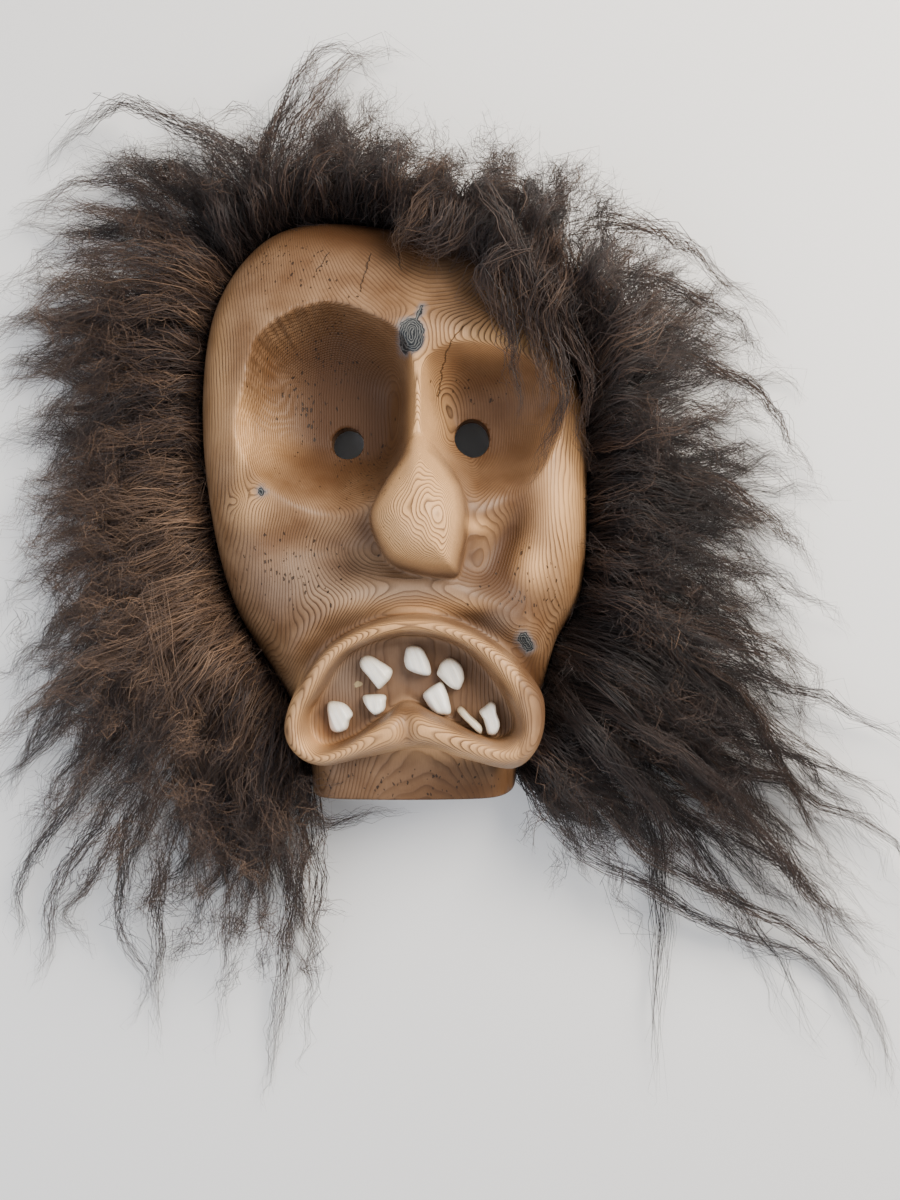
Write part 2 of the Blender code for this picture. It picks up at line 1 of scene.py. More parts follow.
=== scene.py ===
import math
import bmesh
import bpy
import numpy as np
from functools import partial
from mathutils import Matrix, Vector


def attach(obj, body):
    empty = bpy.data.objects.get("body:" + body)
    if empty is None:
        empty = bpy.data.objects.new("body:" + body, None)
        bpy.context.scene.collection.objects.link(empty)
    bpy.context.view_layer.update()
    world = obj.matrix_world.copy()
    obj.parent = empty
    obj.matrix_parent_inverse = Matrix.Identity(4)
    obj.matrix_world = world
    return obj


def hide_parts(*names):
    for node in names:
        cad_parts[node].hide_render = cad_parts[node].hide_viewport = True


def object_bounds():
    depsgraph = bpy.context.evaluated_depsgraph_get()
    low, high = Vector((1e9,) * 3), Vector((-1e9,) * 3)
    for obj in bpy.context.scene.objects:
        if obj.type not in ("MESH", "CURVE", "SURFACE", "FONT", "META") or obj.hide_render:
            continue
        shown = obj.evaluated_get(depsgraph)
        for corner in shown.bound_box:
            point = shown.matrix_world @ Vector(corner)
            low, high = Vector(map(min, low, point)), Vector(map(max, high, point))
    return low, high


# A carved mask with cattle teeth and dark fleece, lying on its back with the face up.
# x is the viewer's right, y points to the crown and z out of the face, all in metres.
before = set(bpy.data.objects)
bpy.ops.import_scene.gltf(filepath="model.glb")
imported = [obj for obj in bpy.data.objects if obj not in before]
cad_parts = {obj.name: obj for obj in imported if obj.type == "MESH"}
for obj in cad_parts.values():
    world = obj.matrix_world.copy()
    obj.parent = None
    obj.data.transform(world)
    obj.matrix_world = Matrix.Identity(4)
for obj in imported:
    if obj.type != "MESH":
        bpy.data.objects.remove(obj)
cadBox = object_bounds()
root = "root"
faceOrigin = np.array([-0.0321021, 0.0453799, 0.0])  # where the face grid below has its zero
mm = 0.001


# camera, floor and light
view = {
    "eye": (0.0039, -0.0096, 0.730), "lens": 30, "sensor": 36,
    "floorHalf": 3.0, "floorColour": "#f8f7f5",
    "lampAim": (0, 0, 0.05),
    "skyColour": "#eef1f6", "skyStrength": 0.72,
}
# name, place, size, power, colour
lamps = [("window", (0.95, 0.75, 1.15), 1.1, 51, "#fff6ea"),
         ("fill", (-0.9, -0.5, 1.3), 1.4, 11, "#eaf1ff")]


def linear(hexColour):
    # sRGB hex to the linear values that shaders take
    text = hexColour.lstrip("#")
    values = [int(text[i:i + 2], 16) / 255 for i in (0, 2, 4)]
    return tuple(v / 12.92 if v <= 0.04045 else ((v + 0.055) / 1.055) ** 2.4 for v in values)


def addNode(tree, kind, settings=None, inputs=None):
    # One node. Settings may be the operation alone; inputs go by name or number, or in order,
    # and each is a value, a hex colour, or the node or socket that feeds it
    node = tree.nodes.new(kind)
    if isinstance(settings, str):
        settings = {"operation": settings}
    for name, value in (settings or {}).items():
        if name == "stops":
            points = node.color_ramp.elements
            for number, (position, tint) in enumerate(value):
                point = points[number] if number < len(points) else points.new(position)
                point.position = position
                point.color = (*(linear(tint) if isinstance(tint, str) else (tint,) * 3), 1)
        else:
            setattr(node, name, value)
    if isinstance(inputs, list):
        inputs = dict(enumerate(inputs))
    for key, value in (inputs or {}).items():
        if isinstance(value, bpy.types.Node):
            value = value.outputs[0]
        if isinstance(value, bpy.types.NodeSocket):
            tree.links.new(value, node.inputs[key])
        elif isinstance(value, str) and value[:1] == "#":
            node.inputs[key].default_value = (*linear(value), 1)
        else:
            node.inputs[key].default_value = value
    return node


def newMaterial(name):
    material = bpy.data.materials.new(name)
    material.use_nodes = True
    tree = material.node_tree
    return material, tree, tree.nodes["Principled BSDF"]


def newObject(name, data):
    piece = bpy.data.objects.new(name, data)
    bpy.context.scene.collection.objects.link(piece)
    return piece


def addCamera():
    data = bpy.data.cameras.new("camera")
    data.lens = view["lens"]
    data.sensor_width = view["sensor"]
    data.clip_start = 0.01
    data.clip_end = 50
    camera = newObject("camera", data)
    camera.location = view["eye"]
    bpy.context.scene.camera = camera


def addLight(name, place, size, power, colour):
    data = bpy.data.lights.new(name, "AREA")
    data.shape = "DISK"
    data.size = size
    data.energy = power
    data.color = linear(colour)
    lamp = newObject(name, data)
    lamp.location = place
    course = Vector(view["lampAim"]) - Vector(place)
    lamp.rotation_euler = course.to_track_quat("-Z", "Y").to_euler()


def addStudio():
    addCamera()
    half = view["floorHalf"]
    mesh = bpy.data.meshes.new("floor")
    mesh.from_pydata([(-half, -half, 0), (half, -half, 0), (half, half, 0), (-half, half, 0)], [],
                     [(0, 1, 2, 3)])
    # Matt board, painted a pale warm grey
    board, _, shader = newMaterial("matt painted board")
    shader.inputs["Base Color"].default_value = (*linear(view["floorColour"]), 1)
    shader.inputs["Roughness"].default_value = 0.85
    mesh.materials.append(board)
    floor = newObject("floor", mesh)
    floor.location.z = -0.0005  # just under the mask
    for lamp in lamps:
        addLight(*lamp)
    world = bpy.data.worlds.new("room")
    world.use_nodes = True
    sky = world.node_tree.nodes["Background"]
    sky.inputs["Color"].default_value = (*linear(view["skyColour"]), 1)
    sky.inputs["Strength"].default_value = view["skyStrength"]
    bpy.context.scene.world = world


addStudio()
print("camera, floor and light are set")


# the form of the carved face, in millimetres on its own grid
face = {
    "wall": 12, "chinWall": 16, "chin": -184, "skirt": -6, "top": 300,
    "plain": 92, "fullness": 5.0, "roundness": 2.3, "hollowFullness": 4.0, "hollowRoundness": 2.2,
    "rings": 150, "voxel": 1.35, "smoothing": 5, "outsideFaces": 132000,
    "hollowRings": 74, "hollowSmoothing": 2, "gougeWidth": 13, "gougeDepth": 0.9,
    "chiselCourse": 2.35, "chiselDepth": 0.035, "drillLength": 200, "drillMiddle": 80,
    "leftEye": (-34, 52), "leftHole": (22, 22), "leftDepth": 47, "leftSteep": 3.2,
    "rightEye": (51, 54), "rightHole": (24, 27), "rightDepth": 38, "rightSteep": 1.8,
    "nose": (17, -10), "noseMiddle": 94, "noseHeight": 51,
    "mouth": (10, -107), "mouthFloor": 92, "lipMiddle": 98, "lipHeight": 22, "muzzleFoot": 20,
    # height, distance from the lips and reach of the swelling and the groove round the mouth
    "muzzle": (9, 19, 12), "groove": (-3, 4, 5),
}
# height, x, y, reach sideways, reach up and down, turn
mounds = [
    (12, 8, 118, 78, 21, 0), (5, -90, 6, 26, 20, 0), (7, 108, 8, 22, 50, 0),
    (-11, -42, -22, 34, 17, 0), (-15, 72, -14, 15, 32, -24), (9, 15, 52, 9, 22, 0),
]
lipDips = [(-4, -60, -130, 22, 22, 0), (-3, 88, -128, 22, 22, 0), (-5, 9, -134, 5, 18, 0)]
faceEdge = [
    (-55, 211), (10, 204), (64, 185), (107, 145), (129, 96), (134, 32), (130, -46), (111, -86),
    (100, -125), (84, -175), (74, -240), (10, -262), (-52, -240), (-62, -175), (-77, -125),
    (-114, -64), (-132, 0), (-139, 78), (-130, 149), (-98, 196),
]
leftSocket = [
    (-46, 136), (-12, 125), (10, 104), (13, 56), (-2, 16), (-42, -4), (-84, 20), (-103, 52),
    (-98, 82), (-86, 118),
]
rightSocket = [
    (20, 98), (42, 109), (72, 107), (98, 97), (113, 78), (104, 44), (84, 12), (56, -3),
    (38, 18), (20, 44), (17, 72),
]
noseEdge = [
    (13, 50), (3, 33), (-6, 18), (-14, 1), (-12, -14), (-2, -31), (17, -38.5), (36, -40.5),
    (41.5, -39), (43, -32), (46, -18), (47, -2), (43, 18), (32, 36), (22, 47),
]
lipOuter = [
    (-68, -132), (-58, -106), (-37, -81), (-4, -66), (31, -66), (67, -83), (91, -108),
    (96, -127), (91, -148), (76, -161), (49, -156), (19, -148), (-16, -154), (-45, -159),
    (-63, -149),
]
lipInner = [
    (-54, -131), (-44, -112), (-26, -88), (8, -77), (40, -83), (62, -103), (77, -132),
    (66, -143), (44, -135), (22, -124), (8, -119), (-6, -128), (-26, -142), (-46, -147),
]


def direction(degrees):
    return np.array([math.cos(math.radians(degrees)), math.sin(math.radians(degrees))])


def smoothLoop(points, steps=12):
    # A closed curve through all the points
    knots = np.array(points, dtype=float)
    before, after, beyond = np.roll(knots, 1, 0), np.roll(knots, -1, 0), np.roll(knots, -2, 0)
    curve = []
    for share in np.linspace(0, 1, steps, endpoint=False):
        bend = 2 * knots + (after - before) * share
        bend = bend + (2 * before - 5 * knots + 4 * after - beyond) * share ** 2
        bend = bend + (3 * knots - before - 3 * after + beyond) * share ** 3
        curve.append(bend / 2)
    return np.stack(curve, axis=1).reshape(-1, 2)


def reachRound(centre, loop, angle):
    # Distance from the centre to the loop in each direction
    curve = smoothLoop(loop) - np.array(centre)
    angles = np.arctan2(curve[:, 1], curve[:, 0])
    order = np.argsort(angles)
    return np.interp(angle, angles[order], np.hypot(curve[order, 0], curve[order, 1]),
                     period=2 * math.pi)


def edgeReach(angle):
    return reachRound((0, 0), faceEdge, angle)


def around(centre, reach, angle):
    # Places at that reach from the centre in each direction
    return centre[0] + reach * np.cos(angle), centre[1] + reach * np.sin(angle)


def shareAndAngle(x, y, centre, loop, wider=0.0):
    # 0 at the centre, 1 on the loop
    angle = np.arctan2(y - centre[1], x - centre[0])
    distance = np.hypot(x - centre[0], y - centre[1])
    return distance / (reachRound(centre, loop, angle) + wider), angle


def edgeShare(x, y):
    return shareAndAngle(x, y, (0, 0), faceEdge)[0]


def distanceInside(x, y, loop):
    # Distance to the loop, positive inside it
    curve = smoothLoop(loop)
    closest = np.full(x.shape, np.inf)
    inside = np.zeros(x.shape, dtype=bool)
    for (ax, ay), (bx, by) in zip(curve, np.roll(curve, -1, 0)):
        along = ((x - ax) * (bx - ax) + (y - ay) * (by - ay)) / ((bx - ax) ** 2 + (by - ay) ** 2)
        along = np.clip(along, 0, 1)
        gap = np.hypot(x - ax - along * (bx - ax), y - ay - along * (by - ay))
        closest = np.minimum(closest, gap)
        if ay != by:
            inside ^= ((ay > y) != (by > y)) & (x < (bx - ax) * (y - ay) / (by - ay) + ax)
    return np.where(inside, closest, -closest)


def moundHeight(x, y, rows):
    # Sum of the soft mounds and dips in the rows
    height = 0
    for level, middleX, middleY, reachX, reachY, turn in rows:
        cosine, sine = math.cos(math.radians(turn)), math.sin(math.radians(turn))
        u = ((x - middleX) * cosine + (y - middleY) * sine) / reachX
        v = ((y - middleY) * cosine - (x - middleX) * sine) / reachY
        height = height + level * np.exp(-u ** 2 - v ** 2)
    return height


def dome(share, fullness, roundness):
    # 1 in the middle, 0 at the edge
    return np.clip(1 - np.clip(share, 0, 1) ** fullness, 0, 1) ** (1 / roundness)


def bowl(x, y, eye, loop, steep, wider=0.0):
    # Hollow round an eye hole: steep under the brow and on its right, soft over the cheek
    share, angle = shareAndAngle(x, y, eye, loop, wider)
    chiselled = np.clip(np.cos(angle - face["chiselCourse"]), 0, 1) ** 3 * (eye[0] < 0)
    step = np.mod(angle * 14, 1) + 0.5 * np.mod(angle * 5.3, 1) - 0.75
    share = share * (1 + face["chiselDepth"] * chiselled * step)
    up = np.clip(np.sin(angle), 0, 1) ** 2
    down = np.clip(-np.sin(angle), 0, 1) ** 2
    side = np.clip(np.cos(angle), 0, 1) ** 2
    bend = 2.1 + steep * up + 0.7 * steep * side + 3 * chiselled
    soft = 1 + (0.8 if eye[0] < 0 else 1.5) * down
    return np.clip(1 - np.clip(share, 0, 1) ** bend, 0, 1) ** soft


def bowls(x, y, wider=0.0):
    return (bowl(x, y, face["leftEye"], leftSocket, face["leftSteep"], wider),
            bowl(x, y, face["rightEye"], rightSocket, face["rightSteep"], wider))


def plainHeight(x, y, lips):
    # The face before its sockets, nose and lips, full in height up to its edge
    height = face["plain"] + moundHeight(x, y, mounds)
    low = np.clip((y + 130) / 40, 0, 1)
    for level, away, reach in (face["muzzle"], face["groove"]):
        height = height + level * np.exp(-((-lips - away) / reach) ** 2) * low
    return height


def faceHeight(x, y):
    # The face without its nose and lips
    share = edgeShare(x, y)
    lips = distanceInside(x, y, lipOuter)
    height = plainHeight(x, y, lips) * dome(share, face["fullness"], face["roundness"])
    left, right = bowls(x, y)
    height = height - face["leftDepth"] * left
    height = height - face["rightDepth"] * right
    inward = np.clip(lips / 9, 0, 1)
    return height * (1 - inward) + face["mouthFloor"] * inward


def hollowHeight(x, y, share):
    # Inner face, which bulges in behind the sockets
    lips = np.full(x.shape, -80.0)  # as far from the lips everywhere
    broad = plainHeight(x, y, lips) - face["wall"] - 2
    broad = broad * dome(share, face["hollowFullness"], face["hollowRoundness"])
    left, right = bowls(x, y, 1.15 * face["wall"])
    return broad - np.maximum(face["leftDepth"] * left, face["rightDepth"] * right)


def discGrid(rings):
    # Concentric rings drawn from a square grid, so that there is no pole
    side = np.linspace(-1, 1, 2 * rings + 1)
    u, v = np.meshgrid(side, side)
    ring = np.maximum(np.abs(u), np.abs(v))
    wide = np.abs(u) >= np.abs(v)
    slope = np.where(wide, v / np.where(u == 0, 1, u), u / np.where(v == 0, 1, v))
    angle = np.where(wide, slope * math.pi / 4, math.pi / 2 - slope * math.pi / 4)
    return ring, angle + math.pi * np.where(wide, u < 0, v < 0)


def ringPlaces(ring, fullness, roundness):
    # Rings spaced evenly along the dome instead of along its plan
    share = np.linspace(0, 1, 400)
    height = dome(share, fullness, roundness) * 0.75
    length = np.concatenate([[0], np.cumsum(np.hypot(np.diff(share), np.diff(height)))])
    return np.interp(ring * length[-1], length, share)


def handOver(piece, node):
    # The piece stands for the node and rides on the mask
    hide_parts(node)
    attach(piece, root)


def closedSheet(x, y, top, bottom):
    # Solid between a grid of heights and a flat underside of one face
    rows, columns = x.shape
    upper = np.stack([x, y, top], -1).reshape(-1, 3)
    index = np.arange(rows * columns).reshape(rows, columns)
    quads = np.stack([index[:-1, :-1], index[:-1, 1:], index[1:, 1:], index[1:, :-1]], -1)
    border = np.concatenate([index[0, :-1], index[:-1, -1], index[-1, :0:-1], index[:0:-1, 0]])
    lower = upper[border] * (1, 1, 0) + (0, 0, bottom)
    under = np.arange(len(border)) + rows * columns
    walls = np.stack([border, under, np.roll(under, -1), np.roll(border, -1)], -1)
    faces = quads.reshape(-1, 4).tolist() + walls.tolist() + [under[::-1].tolist()]
    return np.concatenate([upper, lower]), faces


def ringStack(rings):
    # Closed solid through rings of as many places each, with flat ends
    count = len(rings[0])
    faces = [list(range(count))[::-1]]
    for low in range(0, (len(rings) - 1) * count, count):
        for side in range(count):
            after = (side + 1) % count
            faces.append([low + side, low + after, low + after + count, low + side + count])
    last = (len(rings) - 1) * count
    faces.append(list(range(last, last + count)))
    return np.concatenate(rings), faces


def noseBall():
    # Fuller than a ball, and lower at its top end, where it runs out into the bridge
    angle = np.linspace(0, 2 * math.pi, 96, endpoint=False)
    radius = reachRound(face["nose"], noseEdge, angle)
    rings = []
    for slope in np.radians(np.linspace(-60, 88, 44)):
        x, y = around(face["nose"], radius * math.cos(slope) ** 0.8, angle)
        fall = 1 - 0.5 * np.clip((y + 4) / 52, 0, 1) ** 1.3
        level = face["noseHeight"] * np.where(slope > 0, fall, 0.7)
        rings.append(np.stack([x, y, face["noseMiddle"] + level * math.sin(slope)], -1))
    return ringStack(rings)


def muzzleBlock():
    # Solid wood under the mouth, up to its floor
    curve = smoothLoop(lipOuter)
    middle = np.array(face["mouth"])
    rings = []
    floor = face["mouthFloor"]
    for share, level in ((0.90, face["muzzleFoot"]), (0.93, floor - 8), (0.90, floor)):
        places = middle + (curve - middle) * share
        rings.append(np.column_stack([places, np.full(len(places), level)]))
    return ringStack(rings)


def lipRoll():
    # A ring with an oval section between the inner and the outer edge of the lips
    turns, sides = 288, 40
    turn, side = np.meshgrid(np.linspace(0, 2 * math.pi, turns, endpoint=False),
                             np.linspace(0, 2 * math.pi, sides, endpoint=False), indexing="ij")
    outer = reachRound(face["mouth"], lipOuter, turn)
    inner = reachRound(face["mouth"], lipInner, turn)
    radius = (outer + inner) / 2 + (outer - inner) / 2 * np.cos(side)
    x, y = around(face["mouth"], radius, turn)
    z = face["lipMiddle"] + (face["lipHeight"] + moundHeight(x, y, lipDips)) * np.sin(side)
    index = np.arange(turns * sides).reshape(turns, sides)
    ahead, after = np.roll(index, -1, 0), np.roll(index, -1, 1)
    faces = np.stack([index, ahead, np.roll(ahead, -1, 1), after], -1).reshape(-1, 4)
    return np.stack([x, y, z], -1).reshape(-1, 3), faces.tolist()


def meshObject(name, points, faces):
    # A new smooth object with its faces turned outwards
    mesh = bpy.data.meshes.new(name)
    mesh.from_pydata(np.asarray(points, dtype=float).tolist(), [], faces)
    built = bmesh.new()
    built.from_mesh(mesh)
    bmesh.ops.recalc_face_normals(built, faces=built.faces)
    for item in built.faces:
        item.smooth = True
    built.to_mesh(mesh)
    built.free()
    return newObject(name, mesh)


def applied(piece):
    # Turns the modifiers' result into the object's own mesh
    graph = bpy.context.evaluated_depsgraph_get()
    mesh = bpy.data.meshes.new_from_object(piece.evaluated_get(graph))
    piece.modifiers.clear()
    old = piece.data
    piece.data = mesh
    bpy.data.meshes.remove(old)
    return piece


def cut(piece, cutter, operation="DIFFERENCE"):
    step = piece.modifiers.new("cut", "BOOLEAN")
    step.operation = operation
    step.object = cutter
    step.solver = "MANIFOLD"
    applied(piece)
    bpy.data.objects.remove(cutter, do_unlink=True)


def cutterTool(size, middle, rounded=False):
    # A block or an upright cylinder of that size to cut with
    built = bmesh.new()
    if rounded:
        bmesh.ops.create_cone(built, cap_ends=True, segments=64, radius1=0.5, radius2=0.5, depth=1)
    else:
        bmesh.ops.create_cube(built, size=1)
    bmesh.ops.scale(built, vec=np.array(size) * mm, verts=built.verts)
    bmesh.ops.translate(built, vec=np.array(middle) * mm, verts=built.verts)
    mesh = bpy.data.meshes.new("cutter")
    built.to_mesh(mesh)
    built.free()
    return newObject("cutter", mesh)


def perVertex(mesh, field):
    values = np.empty(len(mesh.vertices) * 3)
    mesh.vertices.foreach_get(field, values)
    return values.reshape(-1, 3)


def setPlaces(mesh, places):
    mesh.vertices.foreach_set("co", np.ascontiguousarray(places, dtype=float).ravel())
    mesh.update()


def setAttribute(mesh, name, values):
    layer = mesh.attributes.new(name, "FLOAT", "POINT")
    layer.data.foreach_set("value", np.ascontiguousarray(values, dtype=float))


def hollowCutter():
    # What is gouged out behind the face
    ring, angle = discGrid(face["hollowRings"])
    share = ringPlaces(ring, face["hollowFullness"], face["hollowRoundness"])
    radius = edgeReach(angle) - face["wall"]
    chin = (face["chin"] + face["chinWall"]) / np.minimum(np.sin(angle), -1e-3)
    radius = np.minimum(radius, np.where(np.sin(angle) < 0, chin, np.inf))
    x, y = around((0, 0), radius * share, angle)
    height = hollowHeight(x, y, share)
    # Rows of gouge cuts, each a shallow scoop along the grain
    row = x / face["gougeWidth"] + 0.35 * np.sin(y / 31)
    column = y / (2.6 * face["gougeWidth"]) + 0.5 * np.mod(np.floor(row), 2)
    scoop = 1 - (2 * np.mod(row, 1) - 1) ** 2 + 0.5 * (1 - (2 * np.mod(column, 1) - 1) ** 2)
    height = height + face["gougeDepth"] * (scoop - 0.6) * np.clip((1 - share) * 8, 0, 1)
    points, faces = closedSheet(x, y, height, face["skirt"])
    piece = meshObject("hollow", points * mm, faces)
    soften = piece.modifiers.new("soften", "SMOOTH")
    soften.iterations = face["hollowSmoothing"]
    return applied(piece)


def carveFace():
    # All forms grow together and are cut flat, hollowed out and drilled
    ring, angle = discGrid(face["rings"])
    share = ringPlaces(ring, face["fullness"], face["roundness"])
    x, y = around((0, 0), edgeReach(angle) * share, angle)
    points, faces = closedSheet(x, y, faceHeight(x, y), face["skirt"])
    for morePoints, moreFaces in (muzzleBlock(), noseBall(), lipRoll()):
        faces = faces + [[corner + len(points) for corner in item] for item in moreFaces]
        points = np.concatenate([points, morePoints])
    piece = meshObject("carved_wood", points * mm, faces)
    grow = piece.modifiers.new("grown together", "REMESH")
    grow.mode = "VOXEL"
    grow.voxel_size = face["voxel"] * mm
    grow.use_smooth_shade = True
    soften = piece.modifiers.new("soften", "SMOOTH")
    soften.iterations = face["smoothing"]
    applied(piece)
    print("grown", len(piece.data.polygons))
    # Flat at the rim and at the chin
    far, chin = face["top"], face["chin"]
    block = cutterTool((2 * far, far - chin, far), (0, (far + chin) / 2, far / 2))
    cut(piece, block, "INTERSECT")
    thin = piece.modifiers.new("fewer faces", "DECIMATE")
    piece.data.calc_loop_triangles()
    thin.ratio = min(1, face["outsideFaces"] / len(piece.data.loop_triangles))
    applied(piece)
    cut(piece, hollowCutter())
    for eye, hole in (("leftEye", "leftHole"), ("rightEye", "rightHole")):
        size, middle = (*face[hole], face["drillLength"]), (*face[eye], face["drillMiddle"])
        cut(piece, cutterTool(size, middle, rounded=True))
    piece.data.calc_loop_triangles()
    print("carved", len(piece.data.loop_triangles))
    return piece


# the wood: oiled stone pine, carved from half a log
pineLook = {
    "pith": (0.015, 0.028), "taper": 0.06, "ringWidth": 0.0015, "warpReach": 0.055, "warp": 0.013,
    "rippleReach": 0.012, "ripple": 0.0017, "fibres": (2000, 66, 2000), "cutWidth": 1.3,
    # the crest colour also paints highlights, the dark brown one painted shade as well as patina,
    # the grey one a painted sheen as well as soot
    "pale": "#a68260", "tan": "#7e5b3c", "ringLine": "#3e2512", "worn": "#f8c084",
    "patina": "#52351c", "smoke": "#a39588", "knot": "#1d2124", "knotRim": "#6f6f6c",
    "knotHalo": "#73757a", "speck": "#1c120a", "speckCell": 0.0021, "crack": "#1f140b",
    "chip": "#a8946f", "inside": "#76583a",
    "patchScale": 44.0, "cloudScale": 26.0, "unevenScale": 230.0, "uneven": 0.0042,
    "roughness": 0.42, "duller": 0.12, "relief": 0.00028,
}
# x, y, how far the rings bend round the knot, reach of the bend, in millimetres
knotBends = [(12, 113, -13, 15), (-85, 15, 7, 7), (-101, 9, 4, 5), (89, -84, -9, 11)]
# dark hearts of the knots: both ends of the middle line and the radius, in millimetres
knotHearts = [((11.5, 110), (12, 115), 7.4), ((15, 122), (18.5, 132), 0.9),
              ((-85, 15), (-84, 14), 1.7), ((83, -80), (87, -85), 3.4)]
# cracks along the grain: both ends
cracks = [((-43, 172), (-51, 158)), ((-16, 172), (-22, 143)), ((44, 119), (35, 106)),
          ((35, 106), (31, 97)), ((31, 97), (28, 80)), ((2, 174), (4, 160))]
# small chips where pale wood shows: both ends and the radius
chips = [((-24, -109), (-22, -108), 1.2), ((-58, -182), (-56, -184), 1.8)]
# areas with worm holes and dark flecks: x, y, reach sideways, reach up and down
flecked = [(-62, 84, 17, 34), (-58, -36, 30, 17), (-70, 165, 26, 14), (85, -45, 18, 18),
           (-20, 30, 18, 22), (60, 85, 20, 10), (10, -172, 60, 8), (-34, 106, 14, 20)]
# darker in these places, partly from dirt and age, partly painted shadow of the hair at the top of
# the forehead and at the small socket's upper rim; a negative strength paints the upper lip paler,
# as lit: strength, x, y, reach sideways, reach up and down, turn
darkening = [(0.16, -10, 160, 110, 30, 0), (1.3, 73, -20, 10, 27, -24), (1.3, 68, -53, 28, 15, 0),
        (0.6, 92, -110, 10, 26, 20), (0.6, 50, 186, 60, 26, 0), (0.5, 50, -178, 30, 10, 0),
        (0.22, -90, -60, 30, 40, 0), (1.0, -15, 193, 84, 23, 0), (-0.6, 4, -51, 42, 8, 0),
        (0.3, 46, 102, 12, 9, 0)]
# crests worn pale by hands, with painted highlights on the bridge and over the lit upper lip: the
# same fields
wornAndHighlit = [(1.0, 62, 112, 26, 8, 0), (1.6, 16, 66, 6, 46, 0), (1.2, 28, 68, 11, 34, 0),
            (0.8, -5, -52, 38, 8, 0), (0.95, 110, 10, 15, 40, 0), (0.8, -93, 5, 14, 14, 0),
            (1.3, -99, 52, 4, 22, 0), (0.8, -88, 52, 14, 22, 0), (0.45, -116, 88, 10, 50, 0),
            (0.9, 24, -58, 28, 5, 0), (0.9, 53, -7, 8, 5, 0), (0.9, 91, -32, 9, 14, 0),
            (0.7, 36, -150, 40, 7, 0), (0.9, -52, -145, 10, 8, 0), (0.7, -60, -120, 6, 16, 0)]
# greyer and paler in these places, partly soot and grease, partly a painted grey sheen where light
# falls on the upper lip: the same fields
sootAndSheen = [(0.75, 2, -51, 44, 8, 0), (0.6, -26, -105, 18, 16, 0), (0.4, -60, -42, 34, 20, 0),
          (0.5, 66, -70, 10, 8, 0)]
# how strongly the painted shade darkens each socket
eyeShade = {"left": 1.0, "right": 0.72}


def fade(value, start, run):
    # 0 before the start, 1 after the run
    return np.clip((value - start) / run, 0, 1)


def dressWood(piece):
    # Attributes that follow the carving
    mesh = piece.data
    x, y, z = (perVertex(mesh, "co") / mm).T
    share = edgeShare(x, y)
    outer, inner = distanceInside(x, y, lipOuter), distanceInside(x, y, lipInner)
    noseRing = distanceInside(x, y, noseEdge)
    left, right = bowls(x, y)
    inside = (perVertex(mesh, "normal")[:, 2] < -0.05) & (share < 0.97) & (z > 1)

    # Painted shade in the sockets, paler on the wall that faces the light and darker on the wall
    # turned away from it
    lit = np.clip((x + 98) / 44, 0.2, 1)
    turnedFromLight = np.clip((x - 22) / 34, 0.1, 1)
    # Darker in the sockets, the mouth, the chin under the lips and the edge under the wool: painted
    # shade; darker too along the groove round the lips and the crease under the nose
    patina = np.maximum.reduce([
        eyeShade["left"] * left ** 0.8 * lit, eyeShade["right"] * right ** 0.8 * turnedFromLight,
        0.62 * fade(inner, 0, 5) * fade(z, 112, -14),  # mouth floor
        0.48 * fade(y, -150, -6) * fade(z, 96, -10),  # chin
        0.3 * fade(share, 0.88, 0.12),  # edge under the wool
        0.45 * np.exp(-((outer + 4) / 5) ** 2) * fade(z, 110, -10),  # groove round the lips
        0.5 * np.exp(-((noseRing + 3) / 7) ** 2) * fade(y, 20, -30)])  # crease under the nose
    patina = np.clip(patina + moundHeight(x, y, darkening) * (z < 133), 0, 1)
    # Paler on the crests: worn by hands, with painted highlights on the nose, the lips and the
    # bridge
    worn = np.maximum.reduce([
        fade(noseRing, 1, 7) * fade(z, 98, 16),
        0.75 * fade(z, 113, 7) * (outer > -2) * (1 - 0.65 * (x > 78)),  # lips, less at their right
        moundHeight(x, y, wornAndHighlit) * (1 - 0.7 * left) * (1 - 0.5 * right)])

    shift = np.zeros(len(x))
    for middleX, middleY, push, reach in knotBends:
        shift += push * np.exp(-(np.hypot(x - middleX, y - middleY) / reach) ** 2)
    # Wavy grain in the nose, in arcs about its lower left
    wave = (0.8 * np.sin(0.3 * x + 0.12 * y) + 0.45 * np.sin(0.62 * x - 0.2 * y + 2)
            + 0.7 * np.sin(0.16 * y + 0.1 * x))
    arcs = 0.48 * (np.hypot(x - face["nose"][0] + 18, y - face["nose"][1] + 14) - 24)
    shift += (wave + arcs) * fade(noseRing, 0, 14)
    flecks = sum(np.exp(-((x - a) / c) ** 2 - ((y - b) / d) ** 2) for a, b, c, d in flecked)

    # The last gouge left fine even cuts under the rim of the big socket
    ringShare, turn = shareAndAngle(x, y, face["leftEye"], leftSocket)
    reach = np.hypot(x - face["leftEye"][0], y - face["leftEye"][1])
    cutsShown = fade(ringShare, 0.52, 0.2) * fade(ringShare, 1.01, -0.04)
    cutsShown = cutsShown * np.clip(np.cos(turn - 2.2) * 1.5, 0, 1)
    for name, values in (
            ("patina", np.where(inside, 0.35, patina)),
            ("worn", np.where(inside, 0, np.clip(worn, 0, 1))),
            ("smoke", np.where(inside, 0.3, moundHeight(x, y, sootAndSheen))),
            ("ringPush", shift * mm), ("flecks", np.clip(flecks, 0, 1) * ~inside),
            ("cutsAcross", reach / np.maximum(ringShare, 0.05) - reach),
            ("cutsShown", cutsShown * ~inside), ("inside", inside)):
        setAttribute(mesh, name, values)
    print("dressed wood", len(x))


